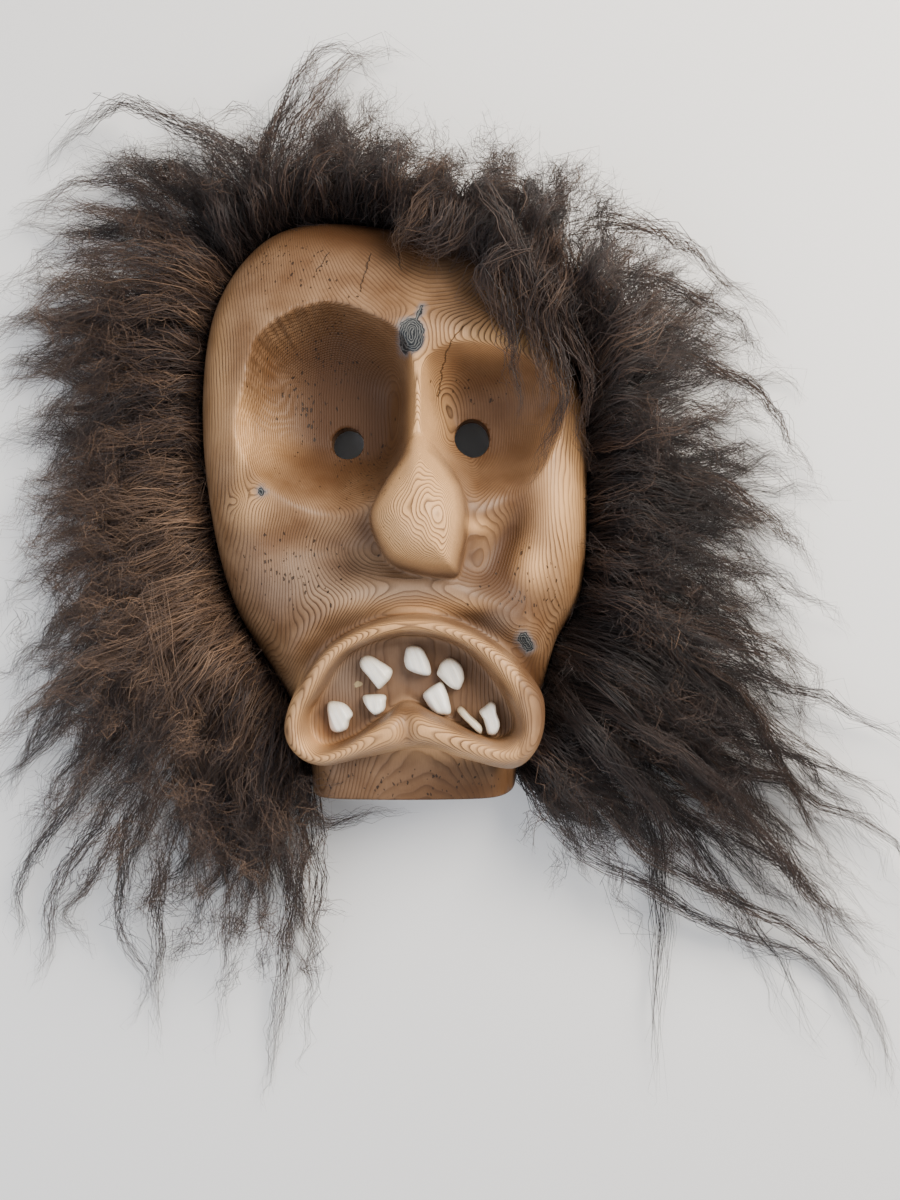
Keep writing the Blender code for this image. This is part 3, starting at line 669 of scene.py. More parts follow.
def strokes(add, place, rows):
    # Distance in metres from the nearest of some short strokes, seen from the front
    nearest = None
    for row in rows:
        start, end = (np.array(spot) * mm + faceOrigin[:2] for spot in row[:2])
        radius = (row[2] if len(row) > 2 else 0) * mm
        run = end - start
        fromStart = add("ShaderNodeVectorMath", "SUBTRACT", [place, (*start, 0)])
        along = add("ShaderNodeVectorMath", "DOT_PRODUCT",
                    [fromStart, (*(run / np.dot(run, run)), 0)])
        share = add("ShaderNodeClamp", None, [along.outputs["Value"]])
        closest = add("ShaderNodeVectorMath", "MULTIPLY_ADD", [(*run, 0), share, (*start, 0)])
        gap = add("ShaderNodeVectorMath", "SUBTRACT", [place, closest])
        flat = add("ShaderNodeVectorMath", "MULTIPLY", [gap, (1, 1, 0)])
        length = add("ShaderNodeVectorMath", "LENGTH", [flat])
        away = add("ShaderNodeMath", "SUBTRACT", [length.outputs["Value"], radius])
        nearest = away if nearest is None else add("ShaderNodeMath", "MINIMUM", [nearest, away])
    return nearest


def stonePine():
    # Stone pine oiled by hands and smoke: rings stand out as fine dark lines, crests are worn
    # pale and satin with painted highlights, hollows are dark and duller, from patina and painted
    # shade
    look = pineLook
    material, tree, shader = newMaterial("oiled stone pine")
    add = partial(addNode, tree)
    place = add("ShaderNodeTexCoord").outputs["Object"]
    told = {name: add("ShaderNodeAttribute", {"attribute_name": name}).outputs["Fac"]
            for name in ("patina", "worn", "smoke", "ringPush", "flecks", "cutsAcross",
                         "cutsShown", "inside")}
    front = add("ShaderNodeMath", "SUBTRACT", [1.0, told["inside"]])

    # Growth rings are cylinders about the pith, bent a little by slow and quick noise
    bent = place
    for reach, lengthwise, detail, push in (
            (look["warpReach"], 0.33, 1.0, look["warp"]),
            (look["rippleReach"], 0.5, 1.5, look["ripple"])):
        drawn = add("ShaderNodeVectorMath", "MULTIPLY",
                    [place, (1 / reach, lengthwise / reach, 1 / reach)])
        noise = add("ShaderNodeTexNoise", None, {"Vector": drawn, "Scale": 1.0, "Detail": detail})
        sway = add("ShaderNodeVectorMath", "SUBTRACT", [noise.outputs["Color"], (0.5, 0.5, 0.5)])
        bent = add("ShaderNodeVectorMath", "MULTIPLY_ADD", [sway, (push, push, push), bent])
    pith = (faceOrigin[0] + look["pith"][0], 0, look["pith"][1])
    fromPith = add("ShaderNodeVectorMath", "SUBTRACT", [bent, pith])
    flat = add("ShaderNodeVectorMath", "MULTIPLY", [fromPith, (1, look["taper"], 1)])
    radius = add("ShaderNodeVectorMath", "LENGTH", [flat]).outputs["Value"]
    radius = add("ShaderNodeMath", "ADD", [radius, told["ringPush"]])
    years = add("ShaderNodeMath", "DIVIDE", [radius, look["ringWidth"]])
    year = add("ShaderNodeMath", "FRACT", [years])
    line = add("ShaderNodeValToRGB", {"stops": [
        (0.0, 0.4), (0.07, 0.0), (0.55, 0.08), (0.82, 0.7), (0.94, 1.0), (1.0, 0.4)]}, [year])
    fibre = add("ShaderNodeTexNoise", None, {
        "Vector": add("ShaderNodeVectorMath", "MULTIPLY", [place, look["fibres"]]),
        "Scale": 1.0, "Detail": 2.0})
    patch = add("ShaderNodeValToRGB", {"stops": [(0.32, 0.0), (0.68, 1.0)]}, [
        add("ShaderNodeTexNoise", None, {
            "Vector": place, "Scale": look["patchScale"], "Detail": 6.0})])
    # Rings are fainter in places, and in the patina and the painted shade
    cloud = add("ShaderNodeValToRGB", {"stops": [(0.34, 0.42), (0.66, 1.0)]}, [
        add("ShaderNodeTexNoise", None, {
            "Vector": place, "Scale": look["cloudScale"], "Detail": 3.0})])
    clear = add("ShaderNodeMath", "MULTIPLY_ADD", [told["patina"], -0.55, 1.0])
    rings = add("ShaderNodeMath", "MULTIPLY", [
        add("ShaderNodeMath", "MULTIPLY", [line, clear]), cloud])

    ridge = add("ShaderNodeMath", "DIVIDE", [told["cutsAcross"], look["cutWidth"]])
    scoop = add("ShaderNodeValToRGB", {"stops": [(0.0, 1.0), (0.3, 0.15), (0.8, 0.0), (1.0, 1.0)]},
                [add("ShaderNodeMath", "FRACT", [ridge])])
    cuts = add("ShaderNodeMath", "MULTIPLY", [scoop, told["cutsShown"]])

    # Knots, cracks and chips keep an uneven outline
    sway = add("ShaderNodeTexNoise", None, {
        "Vector": place, "Scale": look["unevenScale"], "Detail": 2.0})
    sway = add("ShaderNodeVectorMath", "SUBTRACT", [sway.outputs["Color"], (0.5, 0.5, 0.5)])
    uneven = add("ShaderNodeVectorMath", "MULTIPLY_ADD", [
        sway, (look["uneven"], look["uneven"], 0.0), place])
    fromKnot = strokes(add, uneven, knotHearts)
    marks = []
    for distance, scale, stops in (
            (fromKnot, 260.0, [(0.0, 0.75), (0.5, 0.28), (1.0, 0.0)]),
            (fromKnot, 200.0, [(0.0, 1.0), (0.12, 0.0)]),
            (strokes(add, uneven, cracks), 1700.0, [(0.0, 1.0), (0.5, 0.75), (1.0, 0.0)])):
        shape = add("ShaderNodeValToRGB", {"stops": stops},
                    [add("ShaderNodeMath", "MULTIPLY", [distance, scale])])
        marks.append(add("ShaderNodeMath", "MULTIPLY", [shape, front]))
    halo, heart, split = marks
    wave = add("ShaderNodeMath", "PINGPONG", [
        add("ShaderNodeMath", "MULTIPLY", [fromKnot, 700.0]), 1.0])
    knotRings = add("ShaderNodeValToRGB", {"stops": [
        (0.2, look["knot"]), (0.5, look["knotRim"]), (0.8, look["knot"])]}, [wave])
    chipped = add("ShaderNodeValToRGB", {"stops": [(0.0, 1.0), (0.4, 0.0)]}, [
        add("ShaderNodeMath", "MULTIPLY", [strokes(add, uneven, chips), 800.0])])

    # Worm holes and pitch flecks, 1 to 3 mm long with the grain
    cell = 1 / look["speckCell"]
    spots = add("ShaderNodeTexVoronoi", None, {
        "Vector": add("ShaderNodeVectorMath", "MULTIPLY", [uneven, (cell, 0.5 * cell, cell)]),
        "Scale": 1.0})
    drawn = add("ShaderNodeSeparateColor", None, [spots.outputs["Color"]])
    least = add("ShaderNodeMath", "MULTIPLY_ADD", [told["flecks"], -0.7, 1.0])
    chosen = add("ShaderNodeMath", "GREATER_THAN", [drawn.outputs[0], least])
    size = add("ShaderNodeMath", "MULTIPLY_ADD", [drawn.outputs[1], 0.26, 0.12])
    near = add("ShaderNodeMath", "LESS_THAN", [spots.outputs["Distance"], size])
    dot = add("ShaderNodeMath", "MULTIPLY", [chosen, near])

    # Each coat lies over those before it: where, how strong, colour
    colour = look["pale"]
    # Painted light in the coats: the dark brown coat is painted shade as well as patina, the pale
    # crest coat painted highlights as well as wear, the grey coat a painted sheen as well as soot
    for where, strength, tint in (
            (patch, 1.0, look["tan"]), (told["patina"], 1.0, look["patina"]),
            (told["worn"], 1.0, look["worn"]), (told["smoke"], 0.75, look["smoke"]),
            (rings, 1.0, look["ringLine"]), (fibre, 0.36, look["ringLine"]),
            (told["inside"], 0.6, look["inside"]), (cuts, 0.55, look["patina"]),
            (halo, 1.0, look["knotHalo"]), (heart, 1.0, knotRings),
            (split, 0.75, look["crack"]), (chipped, 1.0, look["chip"]),
            (dot, 0.8, look["speck"])):
        amount = add("ShaderNodeMath", "MULTIPLY", [where, strength])
        colour = add("ShaderNodeMix", {"data_type": "RGBA"},
                     {0: amount, 6: colour, 7: tint}).outputs[2]
    tree.links.new(colour, shader.inputs["Base Color"])

    rough = add("ShaderNodeMath", "MULTIPLY_ADD", [
        told["patina"], look["duller"], look["roughness"]])
    rough = add("ShaderNodeMath", "MULTIPLY_ADD", [line, 0.10, rough])
    tree.links.new(rough.outputs[0], shader.inputs["Roughness"])
    shader.inputs["Specular IOR Level"].default_value = 0.32
    relief = add("ShaderNodeMath", "MULTIPLY_ADD", [fibre, 0.5, line])
    for sunk, depth in ((dot, -2.5), (split, -3.0), (cuts, -1.4), (heart, -1.0)):
        relief = add("ShaderNodeMath", "MULTIPLY_ADD", [sunk, depth, relief])
    bump = add("ShaderNodeBump", None, {
        "Strength": 0.8, "Distance": look["relief"], "Height": relief})
    tree.links.new(bump.outputs[0], shader.inputs["Normal"])
    return material


wood = carveFace()
dressWood(wood)
setPlaces(wood.data, perVertex(wood.data, "co") + faceOrigin)
wood.data.materials.clear()
wood.data.materials.append(stonePine())
handOver(wood, "carved_face")
print("wood is done")

# the teeth: cattle incisors set in the mouth floor
toothMake = {
    "rings": 16, "foot": 91.6, "height": 10.2, "rise": 1.6, "ridge": 0.32, "ridgeGap": 4.6,
    "fullness": 7.0, "roundness": 2.6, "flatHalf": 4, "slope": 0.5, "highest": 11.2,
    "enamel": "#fffcf4", "cream": "#e3d3ae", "stain": "#a58a5c", "root": "#8a6f4a",
    "roughness": 0.3, "ior": 1.6, "relief": 0.00025,
}
# course of the ridges in degrees, age from 0 to 1, outline in millimetres on the face's grid
teeth = [
    (-52, 0.25, [(-21.6, -94.7), (-19.7, -91.1), (-14.9, -90.5), (-8.8, -93.7), (-1.1, -99.1),
        (-1.7, -104.3), (-5.3, -108.7), (-8.8, -111.5), (-10.7, -109.9), (-16, -103.5),
        (-20.3, -98.7)]),
    (-70, 0.1, [(6.9, -90.7), (8.5, -85.1), (13.6, -84), (18.1, -85.9), (21.3, -91.1),
        (23.7, -97.9), (23.2, -102.7), (16.8, -102.3), (9.1, -99.1), (6.9, -94.7)]),
    (-62, 0.3, [(28, -99.8), (30.4, -94.7), (35.2, -91.8), (40, -93.4), (43.7, -97.9),
        (45.1, -104.3), (44, -108.3), (41.6, -111.9), (36, -110.3), (29.6, -104.6),
        (27.7, -102.3)]),
    (-62, 0.05, [(18.7, -115.5), (21.3, -112.3), (26.4, -108.7), (30.4, -107.1), (33.1, -110.7),
        (35.5, -118.7), (36.3, -127), (28.8, -127.6), (24, -124.7), (20.8, -120.3)]),
    (-80, 0.1, [(-19.5, -116.3), (-15.2, -115.1), (-5.6, -115.5), (-4.9, -120.3), (-5.9, -125.1),
        (-10.4, -127.9), (-13.9, -126.3), (-18.1, -121.1)]),
    (-65, 0.15, [(-41.6, -120.3), (-34.4, -119.9), (-29.6, -122.2), (-25.9, -127.5), (-28, -131.8),
        (-29.6, -137.1), (-35.2, -139.1), (-39.5, -137.1), (-41.3, -129.9)]),
    (-50, 1.0, [(40.5, -125.1), (42.1, -122.8), (44.8, -123.8), (48.8, -128.3), (54.4, -133.1),
        (56.5, -136.3), (56, -139.8), (53.6, -139.1), (47.2, -133.1), (42.4, -128.3)]),
    (-75, 0.05, [(54.6, -125.9), (58.1, -122.7), (61.6, -119.9), (64.8, -121.2), (65.6, -126.7),
        (67.7, -133.1), (66.7, -137.9), (64, -140.7), (60, -140.3), (58.7, -136.3),
        (57.1, -130.7)]),
]


def carveTooth(number, course, age, outline):
    # A crown with flat broken sides and low ridges along it, highest at its biting edge
    make = toothMake
    ring, angle = discGrid(make["rings"])
    share = ringPlaces(ring, make["fullness"], make["roundness"])
    middle = np.mean(outline, axis=0)
    x, y = around(middle, reachRound(middle, outline, angle) * share, angle)
    way = direction(course)
    along = (x - middle[0]) * way[0] + (y - middle[1]) * way[1]
    across = (y - middle[1]) * way[0] - (x - middle[0]) * way[1]
    toTip = along / np.abs(along).max()
    ridges = np.cos(2 * math.pi * across / make["ridgeGap"] + number) * (0.5 + 0.5 * toTip)
    top = make["height"] + make["rise"] * toTip + make["ridge"] * ridges
    top = top - make["slope"] * np.clip(np.abs(across) - make["flatHalf"], 0, 3)
    crown = np.minimum(top, make["highest"]) * dome(share, make["fullness"], make["roundness"])
    points, faces = closedSheet(x, y, make["foot"] + crown, make["foot"])
    piece = meshObject("cattle_tooth_%d" % number, points * mm + faceOrigin, faces)
    flat = points - (*middle, 0)
    lengthwise = flat[:, 0] * way[0] + flat[:, 1] * way[1]
    for name, values in (
            ("across", flat[:, 1] * way[0] - flat[:, 0] * way[1]),
            ("toTip", 0.5 + 0.5 * lengthwise / np.abs(along).max()),
            ("above", points[:, 2] - make["foot"]), ("age", np.full(len(points), age))):
        setAttribute(piece.data, name, values)
    return piece


def toothEnamel():
    # Real cattle teeth: white polished enamel with fine lengthwise growth lines, creamy and
    # stained where it meets the wood
    make = toothMake
    material, tree, shader = newMaterial("cattle tooth enamel")
    add = partial(addNode, tree)
    place = add("ShaderNodeTexCoord").outputs["Object"]
    told = {name: add("ShaderNodeAttribute", {"attribute_name": name}).outputs["Fac"]
            for name in ("across", "toTip", "above", "age")}
    streak = add("ShaderNodeTexNoise", None, {
        "Vector": add("ShaderNodeCombineXYZ", None, [
            add("ShaderNodeMath", "MULTIPLY", [told["across"], 1.7]),
            add("ShaderNodeMath", "MULTIPLY", [told["toTip"], 1.5]),
            add("ShaderNodeMath", "MULTIPLY", [told["age"], 7.0])]),
        "Scale": 1.0, "Detail": 3.0})
    patch = add("ShaderNodeTexNoise", None, {"Vector": place, "Scale": 160.0, "Detail": 2.0})
    creamy = add("ShaderNodeMath", "MULTIPLY_ADD", [
        add("ShaderNodeValToRGB", {"stops": [(0.4, 0.0), (0.8, 0.7)]}, [streak]),
        0.7, add("ShaderNodeMath", "MULTIPLY", [told["age"], 0.45])])
    back = add("ShaderNodeMath", "MULTIPLY", [
        add("ShaderNodeValToRGB", {"stops": [(0.0, 0.7), (0.35, 0.0)]}, [told["toTip"]]), patch])
    darkening = add("ShaderNodeMath", "MULTIPLY_ADD", [
        told["age"], add("ShaderNodeMath", "MULTIPLY", [streak, 0.6]), back])
    foot = add("ShaderNodeValToRGB", {"stops": [(0.0, 0.85), (0.25, 0.3), (0.5, 0.0)]}, [
        add("ShaderNodeMath", "MULTIPLY", [told["above"], 0.1])])
    colour = make["enamel"]
    for amount, tint in ((creamy, make["cream"]), (darkening, make["stain"]), (foot, make["root"])):
        colour = add("ShaderNodeMix", {"data_type": "RGBA"},
                     {0: amount, 6: colour, 7: tint}).outputs[2]
    tree.links.new(colour, shader.inputs["Base Color"])
    shader.inputs["Roughness"].default_value = make["roughness"]
    shader.inputs["IOR"].default_value = make["ior"]
    shader.inputs["Subsurface Weight"].default_value = 0.05
    shader.inputs["Subsurface Radius"].default_value = (0.003, 0.002, 0.0012)
    bump = add("ShaderNodeBump", None, {
        "Strength": 0.5, "Distance": make["relief"], "Height": streak})
    tree.links.new(bump.outputs[0], shader.inputs["Normal"])
    return material


enamel = toothEnamel()
for number, (course, age, outline) in enumerate(teeth, 1):
    piece = carveTooth(number, course, age, outline)
    piece.data.materials.append(enamel)
    handOver(piece, "tooth_%d" % number)
print("teeth are done")

# the fleece: long wavy wool that leaves the edge of the wood and hangs down the face
fleece = {
    "seed": 7, "reach": 270, "tipHeight": 4, "droop": 0.75, "bend": 0.34, "between": 0.2,
    "points": 17, "lockPoints": 22,
    "thickness": 0.00024, "frizz": 0.011, "frizzReach": 0.019, "strandShift": 0.7,
    "flyaway": 3.0, "shortest": 0.55, "lowest": 0.0008, "fringeLocks": 34,
    "frizzGrowth": (1.7, 1.2), "thinning": 0.6, "swell": (8.0, 0.25),
    "fuzzPoints": 9, "fuzzReach": (18, 46), "fuzzFrizz": 0.017, "fuzzFrizzReach": 0.009,
    "colours": [(0.0, "#1a1211"), (0.3, "#362722"), (0.65, "#644c3a"), (1.0, "#96765c")],
}
# how the locks differ: two values are a range, rise and turn are spreads in degrees, waves,
# widths and beats are in millimetres, and a course is a middle and its spread
draw = {
    "lockRise": 20, "lockTurn": 9, "lockSink": (-0.4, 2.4), "lockWave": (2, 7),
    "lockBeat": (5, 9), "lockCurl": 10, "lockWidth": (5, 11), "lockTone": 0.10,
    "fringeCourse": (258, 30), "fringeWave": (3, 7), "fringeBeat": (5, 9), "fringeBow": 18,
    "fringeWidth": (6, 13), "fuzzTurn": 48, "fuzzWave": (1, 3), "fuzzBeat": (2.5, 5),
    "fuzzBow": 0.25, "fuzzWidth": (4, 9), "fuzzTone": 0.13, "longWidth": (4.5, 7),
    "longTone": 0.06, "anyPhase": (0, 6.3),
}
# place round the face, reach, heading of the tip, heading at the wood, height
crownLocks = [
    (124.5, 0.64, 166.5, 141, 71), (118, 0.63, 162, 122, 76), (112, 0.53, 145, 116, 80),
    (106, 0.24, 120, 108, 84), (99, 0.45, 94, 97, 92), (90, 0.3, 89, 86, 102),
    (79, 0.28, 88, 80, 114), (68, 0.33, 86, 76, 126), (58, 0.4, 79, 72, 132),
    (49, 0.41, 66, 64, 130), (41, 0.47, 50, 56, 122), (34.5, 0.54, 35, 40.5, 113),
]
leftLocks = [
    (124.5, 0.64, 166.5, 141, 71), (131, 0.65, 171, 160, 66), (139, 0.62, 175, 168, 60),
    (147, 0.61, 179, 175, 58), (156, 0.58, 184, 182, 58), (165, 0.55, 190, 190, 58),
    (174, 0.59, 196, 195, 62), (182, 0.64, 203.5, 200, 69),
]
beardLocks = [
    (182, 0.64, 203.5, 200, 69), (190, 0.69, 211, 205, 76), (197, 0.79, 218, 210, 84),
    (204, 0.89, 224, 214, 94), (211, 0.96, 230, 218, 102), (218, 1.05, 235, 222, 106),
    (225, 1.02, 241, 228, 106), (232, 1.04, 247, 236, 104), (238, 1.03, 251, 244, 100),
    (243, 0.95, 257, 252, 92), (247, 0.99, 264, 258, 82),
]
rightLocks = [
    (34.5, 0.54, 35, 40.5, 113), (28, 0.6, 20, 25, 104), (20, 0.53, 12, 16, 92),
    (12, 0.57, 3, 8, 82), (3, 0.63, -7, -2, 76), (-6, 0.66, -16, -9, 74), (-15, 0.7, -24, -14, 74),
    (-23, 0.72, -30, -18, 76), (-31, 0.92, -35, -21, 80), (-38, 1.1, -37, -24, 82),
    (-44, 1.2, -40, -27, 80), (-50, 1.47, -49, -30, 78), (-57, 0.74, -50, -40, 72),
    (-64, 0.38, -56, -54, 64),
]


def lockAt(locks, place):
    # The lock between two rows of the table
    table = np.array(locks, dtype=float)
    return [np.interp(place, np.arange(len(table)), table[:, field]) for field in range(5)]


def woodHeight(x, y):
    # Top of the wood, 0 outside its edge
    share = edgeShare(x, y)
    height = plainHeight(x, y, distanceInside(x, y, lipOuter))
    return np.where(share < 1, height * dome(share, face["fullness"], face["roundness"]), 0)


def lockCurve(locks, place, longest, sink, lift, turn):
    # Leaves the wood at its place and hangs to the tip of a lower lock, as long wool does
    angle, _, _, setting, _ = lockAt(locks, place)
    lower, reach, heading, _, _ = lockAt(locks, min(place + sink, len(locks) - 1))
    snug = abs(2 * (place + sink - round(place + sink))) ** 1.4
    length = reach * fleece["reach"] * longest * (1 - fleece["between"] * snug)
    away = direction(heading + turn)
    early = direction(setting + lift)
    late = away + np.array([0, -fleece["droop"] * abs(away[0])])
    late = late / np.linalg.norm(late)
    root = direction(angle) * (edgeReach(math.radians(angle)) - 2)
    tip = direction(lower) * edgeReach(math.radians(lower)) + away * length
    bend = fleece["bend"] * np.linalg.norm(tip - root)
    first, second = root + early * bend, tip - late * bend
    way = np.linspace(0, 1, fleece["points"])[:, None]
    path = (root * (1 - way) ** 3 + 3 * first * way * (1 - way) ** 2
            + 3 * second * way ** 2 * (1 - way) + tip * way ** 3)
    return path, np.array([-away[1], away[0]]), 3 * bend


def lockGuide(rng, locks, place, layer, longest):
    # Path of one lock in millimetres, from the wood to its tip
    height = lockAt(locks, place)[4]
    sink = rng.uniform(*draw["lockSink"]) * layer * (1 - place / len(locks))
    path, side, length = lockCurve(locks, place, longest, sink, rng.normal(0, draw["lockRise"]),
                                   rng.normal(0, draw["lockTurn"]))
    way = np.linspace(0, 1, fleece["points"])
    beat = length / rng.uniform(*draw["lockBeat"])
    wave = rng.uniform(*draw["lockWave"]) * np.sin(way * beat + rng.uniform(*draw["anyPhase"]))
    curl = rng.normal(0, draw["lockCurl"]) * way ** 3
    path = path + side * (wave * way ** 0.6 + curl)[:, None]
    fall = (1 - way) ** 1.1 * (1 + 0.9 * way)  # high over the first half, then down
    top = fleece["tipHeight"] + (height - fleece["tipHeight"]) * fall
    rise = np.clip(way / 0.16, 0, 1) ** 0.6
    level = 3 + top * (0.12 + 0.88 * layer) * (0.5 + 0.5 * rise)
    sway = rng.uniform(1, 4) * np.sin(way * beat * 0.8 + rng.uniform(*draw["anyPhase"]))
    level = level + sway * way ** 0.5
    level = np.maximum(level, np.where(way < 0.5, woodHeight(path[:, 0], path[:, 1]) + 4, 0))
    path = np.clip(path, fleeceLow, fleeceHigh)
    return np.column_stack([path, np.maximum(level, 2.5)])


def fringeGuide(rng, angle, reach, height):
    # Path of a curly lock that falls from the edge inwards over the forehead
    out = direction(angle)
    edge = edgeReach(math.radians(angle))
    root = out * (edge + rng.uniform(-2, 14))
    course = direction(rng.normal(*draw["fringeCourse"]))
    way = np.linspace(0, 1, fleece["points"])
    side = np.array([-course[1], course[0]])
    bow = rng.normal(0, draw["fringeBow"]) * np.sin(way * 3.1)
    wave = rng.uniform(*draw["fringeWave"]) * np.sin(
        way * reach / rng.uniform(*draw["fringeBeat"]) + rng.uniform(*draw["anyPhase"]))
    path = root + course * reach * way[:, None] + side * (bow + wave * way)[:, None]
    ground = woodHeight(path[:, 0], path[:, 1])
    lift = (height - 6) * (1 - way) ** 0.8 + (ground + 5) * way ** 0.8
    return np.column_stack([path, np.maximum(lift, ground + 5)])


def drawnGuide(points, count):
    # Path through drawn points, evenly spaced
    knots = np.array(points, dtype=float)
    length = np.concatenate([[0], np.cumsum(np.linalg.norm(np.diff(knots, axis=0), axis=1))])
    places = np.linspace(0, length[-1], count)
    return np.column_stack([np.interp(places, length, knots[:, axis]) for axis in range(3)])


def fuzzGuide(rng, locks):
    # A short crimped tuft on top of the locks, lying askew
    place = rng.uniform(0, len(locks) - 1)
    path = lockGuide(rng, locks, place, rng.uniform(0.8, 1.0), 1.0)
    start = int(len(path) * rng.uniform(0.02, 0.62))
    run = path[start + 1, :2] - path[start, :2]
    course = direction(math.degrees(math.atan2(run[1], run[0]))
                       + rng.normal(0, draw["fuzzTurn"]))
    side = np.array([-course[1], course[0]])
    reach = rng.uniform(*fleece["fuzzReach"])
    way = np.linspace(0, 1, fleece["fuzzPoints"])
    wave = rng.uniform(*draw["fuzzWave"]) * np.sin(
        way * reach / rng.uniform(*draw["fuzzBeat"]) + rng.uniform(*draw["anyPhase"]))
    bow = rng.normal(0, draw["fuzzBow"]) * reach * way ** 2
    flat = path[start, :2] + course * reach * way[:, None] + side * (wave + bow)[:, None]
    level = path[start, 2] + rng.uniform(0, 4) + 3 * np.sin(way * 3.1) - 0.12 * reach * way
    return np.column_stack([flat, np.maximum(level, woodHeight(flat[:, 0], flat[:, 1]) + 3)])


def guideMesh(name, paths, spreads, tones):
    # Polylines that carry the width and the tone of their lock
    count = len(paths[0])
    points = np.concatenate(paths) * mm + faceOrigin
    edges = [(corner, corner + 1) for corner in range(len(points)) if (corner + 1) % count]
    mesh = bpy.data.meshes.new(name)
    mesh.from_pydata(points.tolist(), edges, [])
    setAttribute(mesh, "spread", np.concatenate(spreads) * mm)
    setAttribute(mesh, "lockTone", np.concatenate(tones))
    return newObject(name, mesh)


def strandTree(name, material):
    # Geometry Nodes: every guide becomes a bundle of thin tapering strands
    tree = bpy.data.node_groups.new(name, "GeometryNodeTree")
    sockets = tree.interface
    sockets.new_socket("Geometry", in_out="INPUT", socket_type="NodeSocketGeometry")
    sockets.new_socket("Geometry", in_out="OUTPUT", socket_type="NodeSocketGeometry")
    for label, kind, value in (
            ("Strands per lock", "NodeSocketInt", 40), ("Points", "NodeSocketInt", 13),
            ("Thickness", "NodeSocketFloat", fleece["thickness"]),
            ("Frizz", "NodeSocketFloat", fleece["frizz"]),
            ("Frizz reach", "NodeSocketFloat", fleece["frizzReach"]),
            ("Flyaway", "NodeSocketFloat", fleece["flyaway"]),
            ("Latest start", "NodeSocketFloat", 0.06),
            ("Shortest", "NodeSocketFloat", fleece["shortest"]), ("Seed", "NodeSocketInt", 1)):
        sockets.new_socket(label, in_out="INPUT", socket_type=kind).default_value = value
    given = tree.nodes.new("NodeGroupInput").outputs
    result = tree.nodes.new("NodeGroupOutput")
    add = partial(addNode, tree)

    # One random number of each kind for every strand
    own = {}
    for salt, (label, low, high) in enumerate((
            ("turn", 0.0, 6.283), ("twist", -1.5, 1.5), ("far", 0.0, 1.0), ("x", -1.0, 1.0),
            ("y", -1.0, 1.0), ("z", -1.0, 1.0), ("end", given["Shortest"], 1.0),
            ("thickness", 0.65, 1.35), ("tone", -0.28, 0.28), ("loose", -6.0, 1.0),
            ("start", 0.0, given["Latest start"])), 1):
        seed = add("ShaderNodeMath", "ADD", [given["Seed"], salt])
        drawn = add("FunctionNodeRandomValue", {"data_type": "FLOAT"},
                    {2: low, 3: high, "Seed": seed})
        own[label] = add("GeometryNodeFieldOnDomain", {"domain": "CURVE", "data_type": "FLOAT"},
                         [drawn.outputs[1]])
    stored = {label: add("GeometryNodeInputNamedAttribute", {"data_type": "FLOAT"},
                         {"Name": label}) for label in ("spread", "lockTone")}
    along = add("GeometryNodeSplineParameter").outputs["Factor"]
    where = add("GeometryNodeInputPosition")
    normal = add("GeometryNodeInputNormal")

    curves = add("GeometryNodeMeshToCurve", None, {0: given["Geometry"]})
    smooth = add("GeometryNodeCurveSplineType", {"spline_type": "CATMULL_ROM"}, {0: curves})
    even = add("GeometryNodeResampleCurve", None, {"Curve": smooth, "Count": given["Points"]})
    bundle = add("GeometryNodeDuplicateElements", {"domain": "SPLINE"},
                 {"Geometry": even, "Amount": given["Strands per lock"]})

    # Strands twist round the guide, at their own distance from it
    across = add("ShaderNodeVectorMath", "CROSS_PRODUCT",
                 [add("GeometryNodeInputTangent"), normal])
    turn = add("ShaderNodeMath", "ADD", [
        own["turn"], add("ShaderNodeMath", "MULTIPLY", [along, own["twist"]])])
    far = add("ShaderNodeMath", "MULTIPLY", [
        add("ShaderNodeMath", "SQRT", [own["far"]]), stored["spread"]])
    sides = []
    for axis, wave in ((normal, "COSINE"), (across, "SINE")):
        share = add("ShaderNodeMath", "MULTIPLY", [add("ShaderNodeMath", wave, [turn]), far])
        sides.append(add("ShaderNodeVectorMath", "SCALE", {0: axis, "Scale": share}))
    offset = add("ShaderNodeVectorMath", "ADD", sides)

    # Frizz: noise that neighbours share in part, stronger to the tip and on loose hairs
    shift = add("ShaderNodeCombineXYZ", None, [own["x"], own["y"], own["z"]])
    spot = add("ShaderNodeVectorMath", "ADD", [
        add("ShaderNodeVectorMath", "SCALE", {
            0: where, "Scale": add("ShaderNodeMath", "DIVIDE", [1.0, given["Frizz reach"]])}),
        add("ShaderNodeVectorMath", "SCALE", {0: shift, "Scale": fleece["strandShift"]})])
    cloud = add("ShaderNodeTexNoise", None, {"Vector": spot, "Scale": 1.0, "Detail": 1.5})
    loose = add("ShaderNodeMath", "MULTIPLY_ADD", [
        add("ShaderNodeMath", "MAXIMUM", [own["loose"], 0.0]), given["Flyaway"], 1.0])
    strength = add("ShaderNodeMath", "MULTIPLY", [
        add("ShaderNodeMath", "MULTIPLY", [given["Frizz"], loose]),
        add("ShaderNodeMath", "MULTIPLY_ADD", [along, *fleece["frizzGrowth"]])])
    sway = add("ShaderNodeVectorMath", "SCALE", {
        0: add("ShaderNodeVectorMath", "SUBTRACT", [cloud.outputs["Color"], (0.5, 0.5, 0.5)]),
        "Scale": strength})
    moved = add("GeometryNodeSetPosition", None, {
        "Geometry": bundle, "Offset": add("ShaderNodeVectorMath", "ADD", [offset, sway])})
    trimmed = add("GeometryNodeTrimCurve", {"mode": "FACTOR"},
                  {"Curve": moved, 2: own["start"], 3: own["end"]})

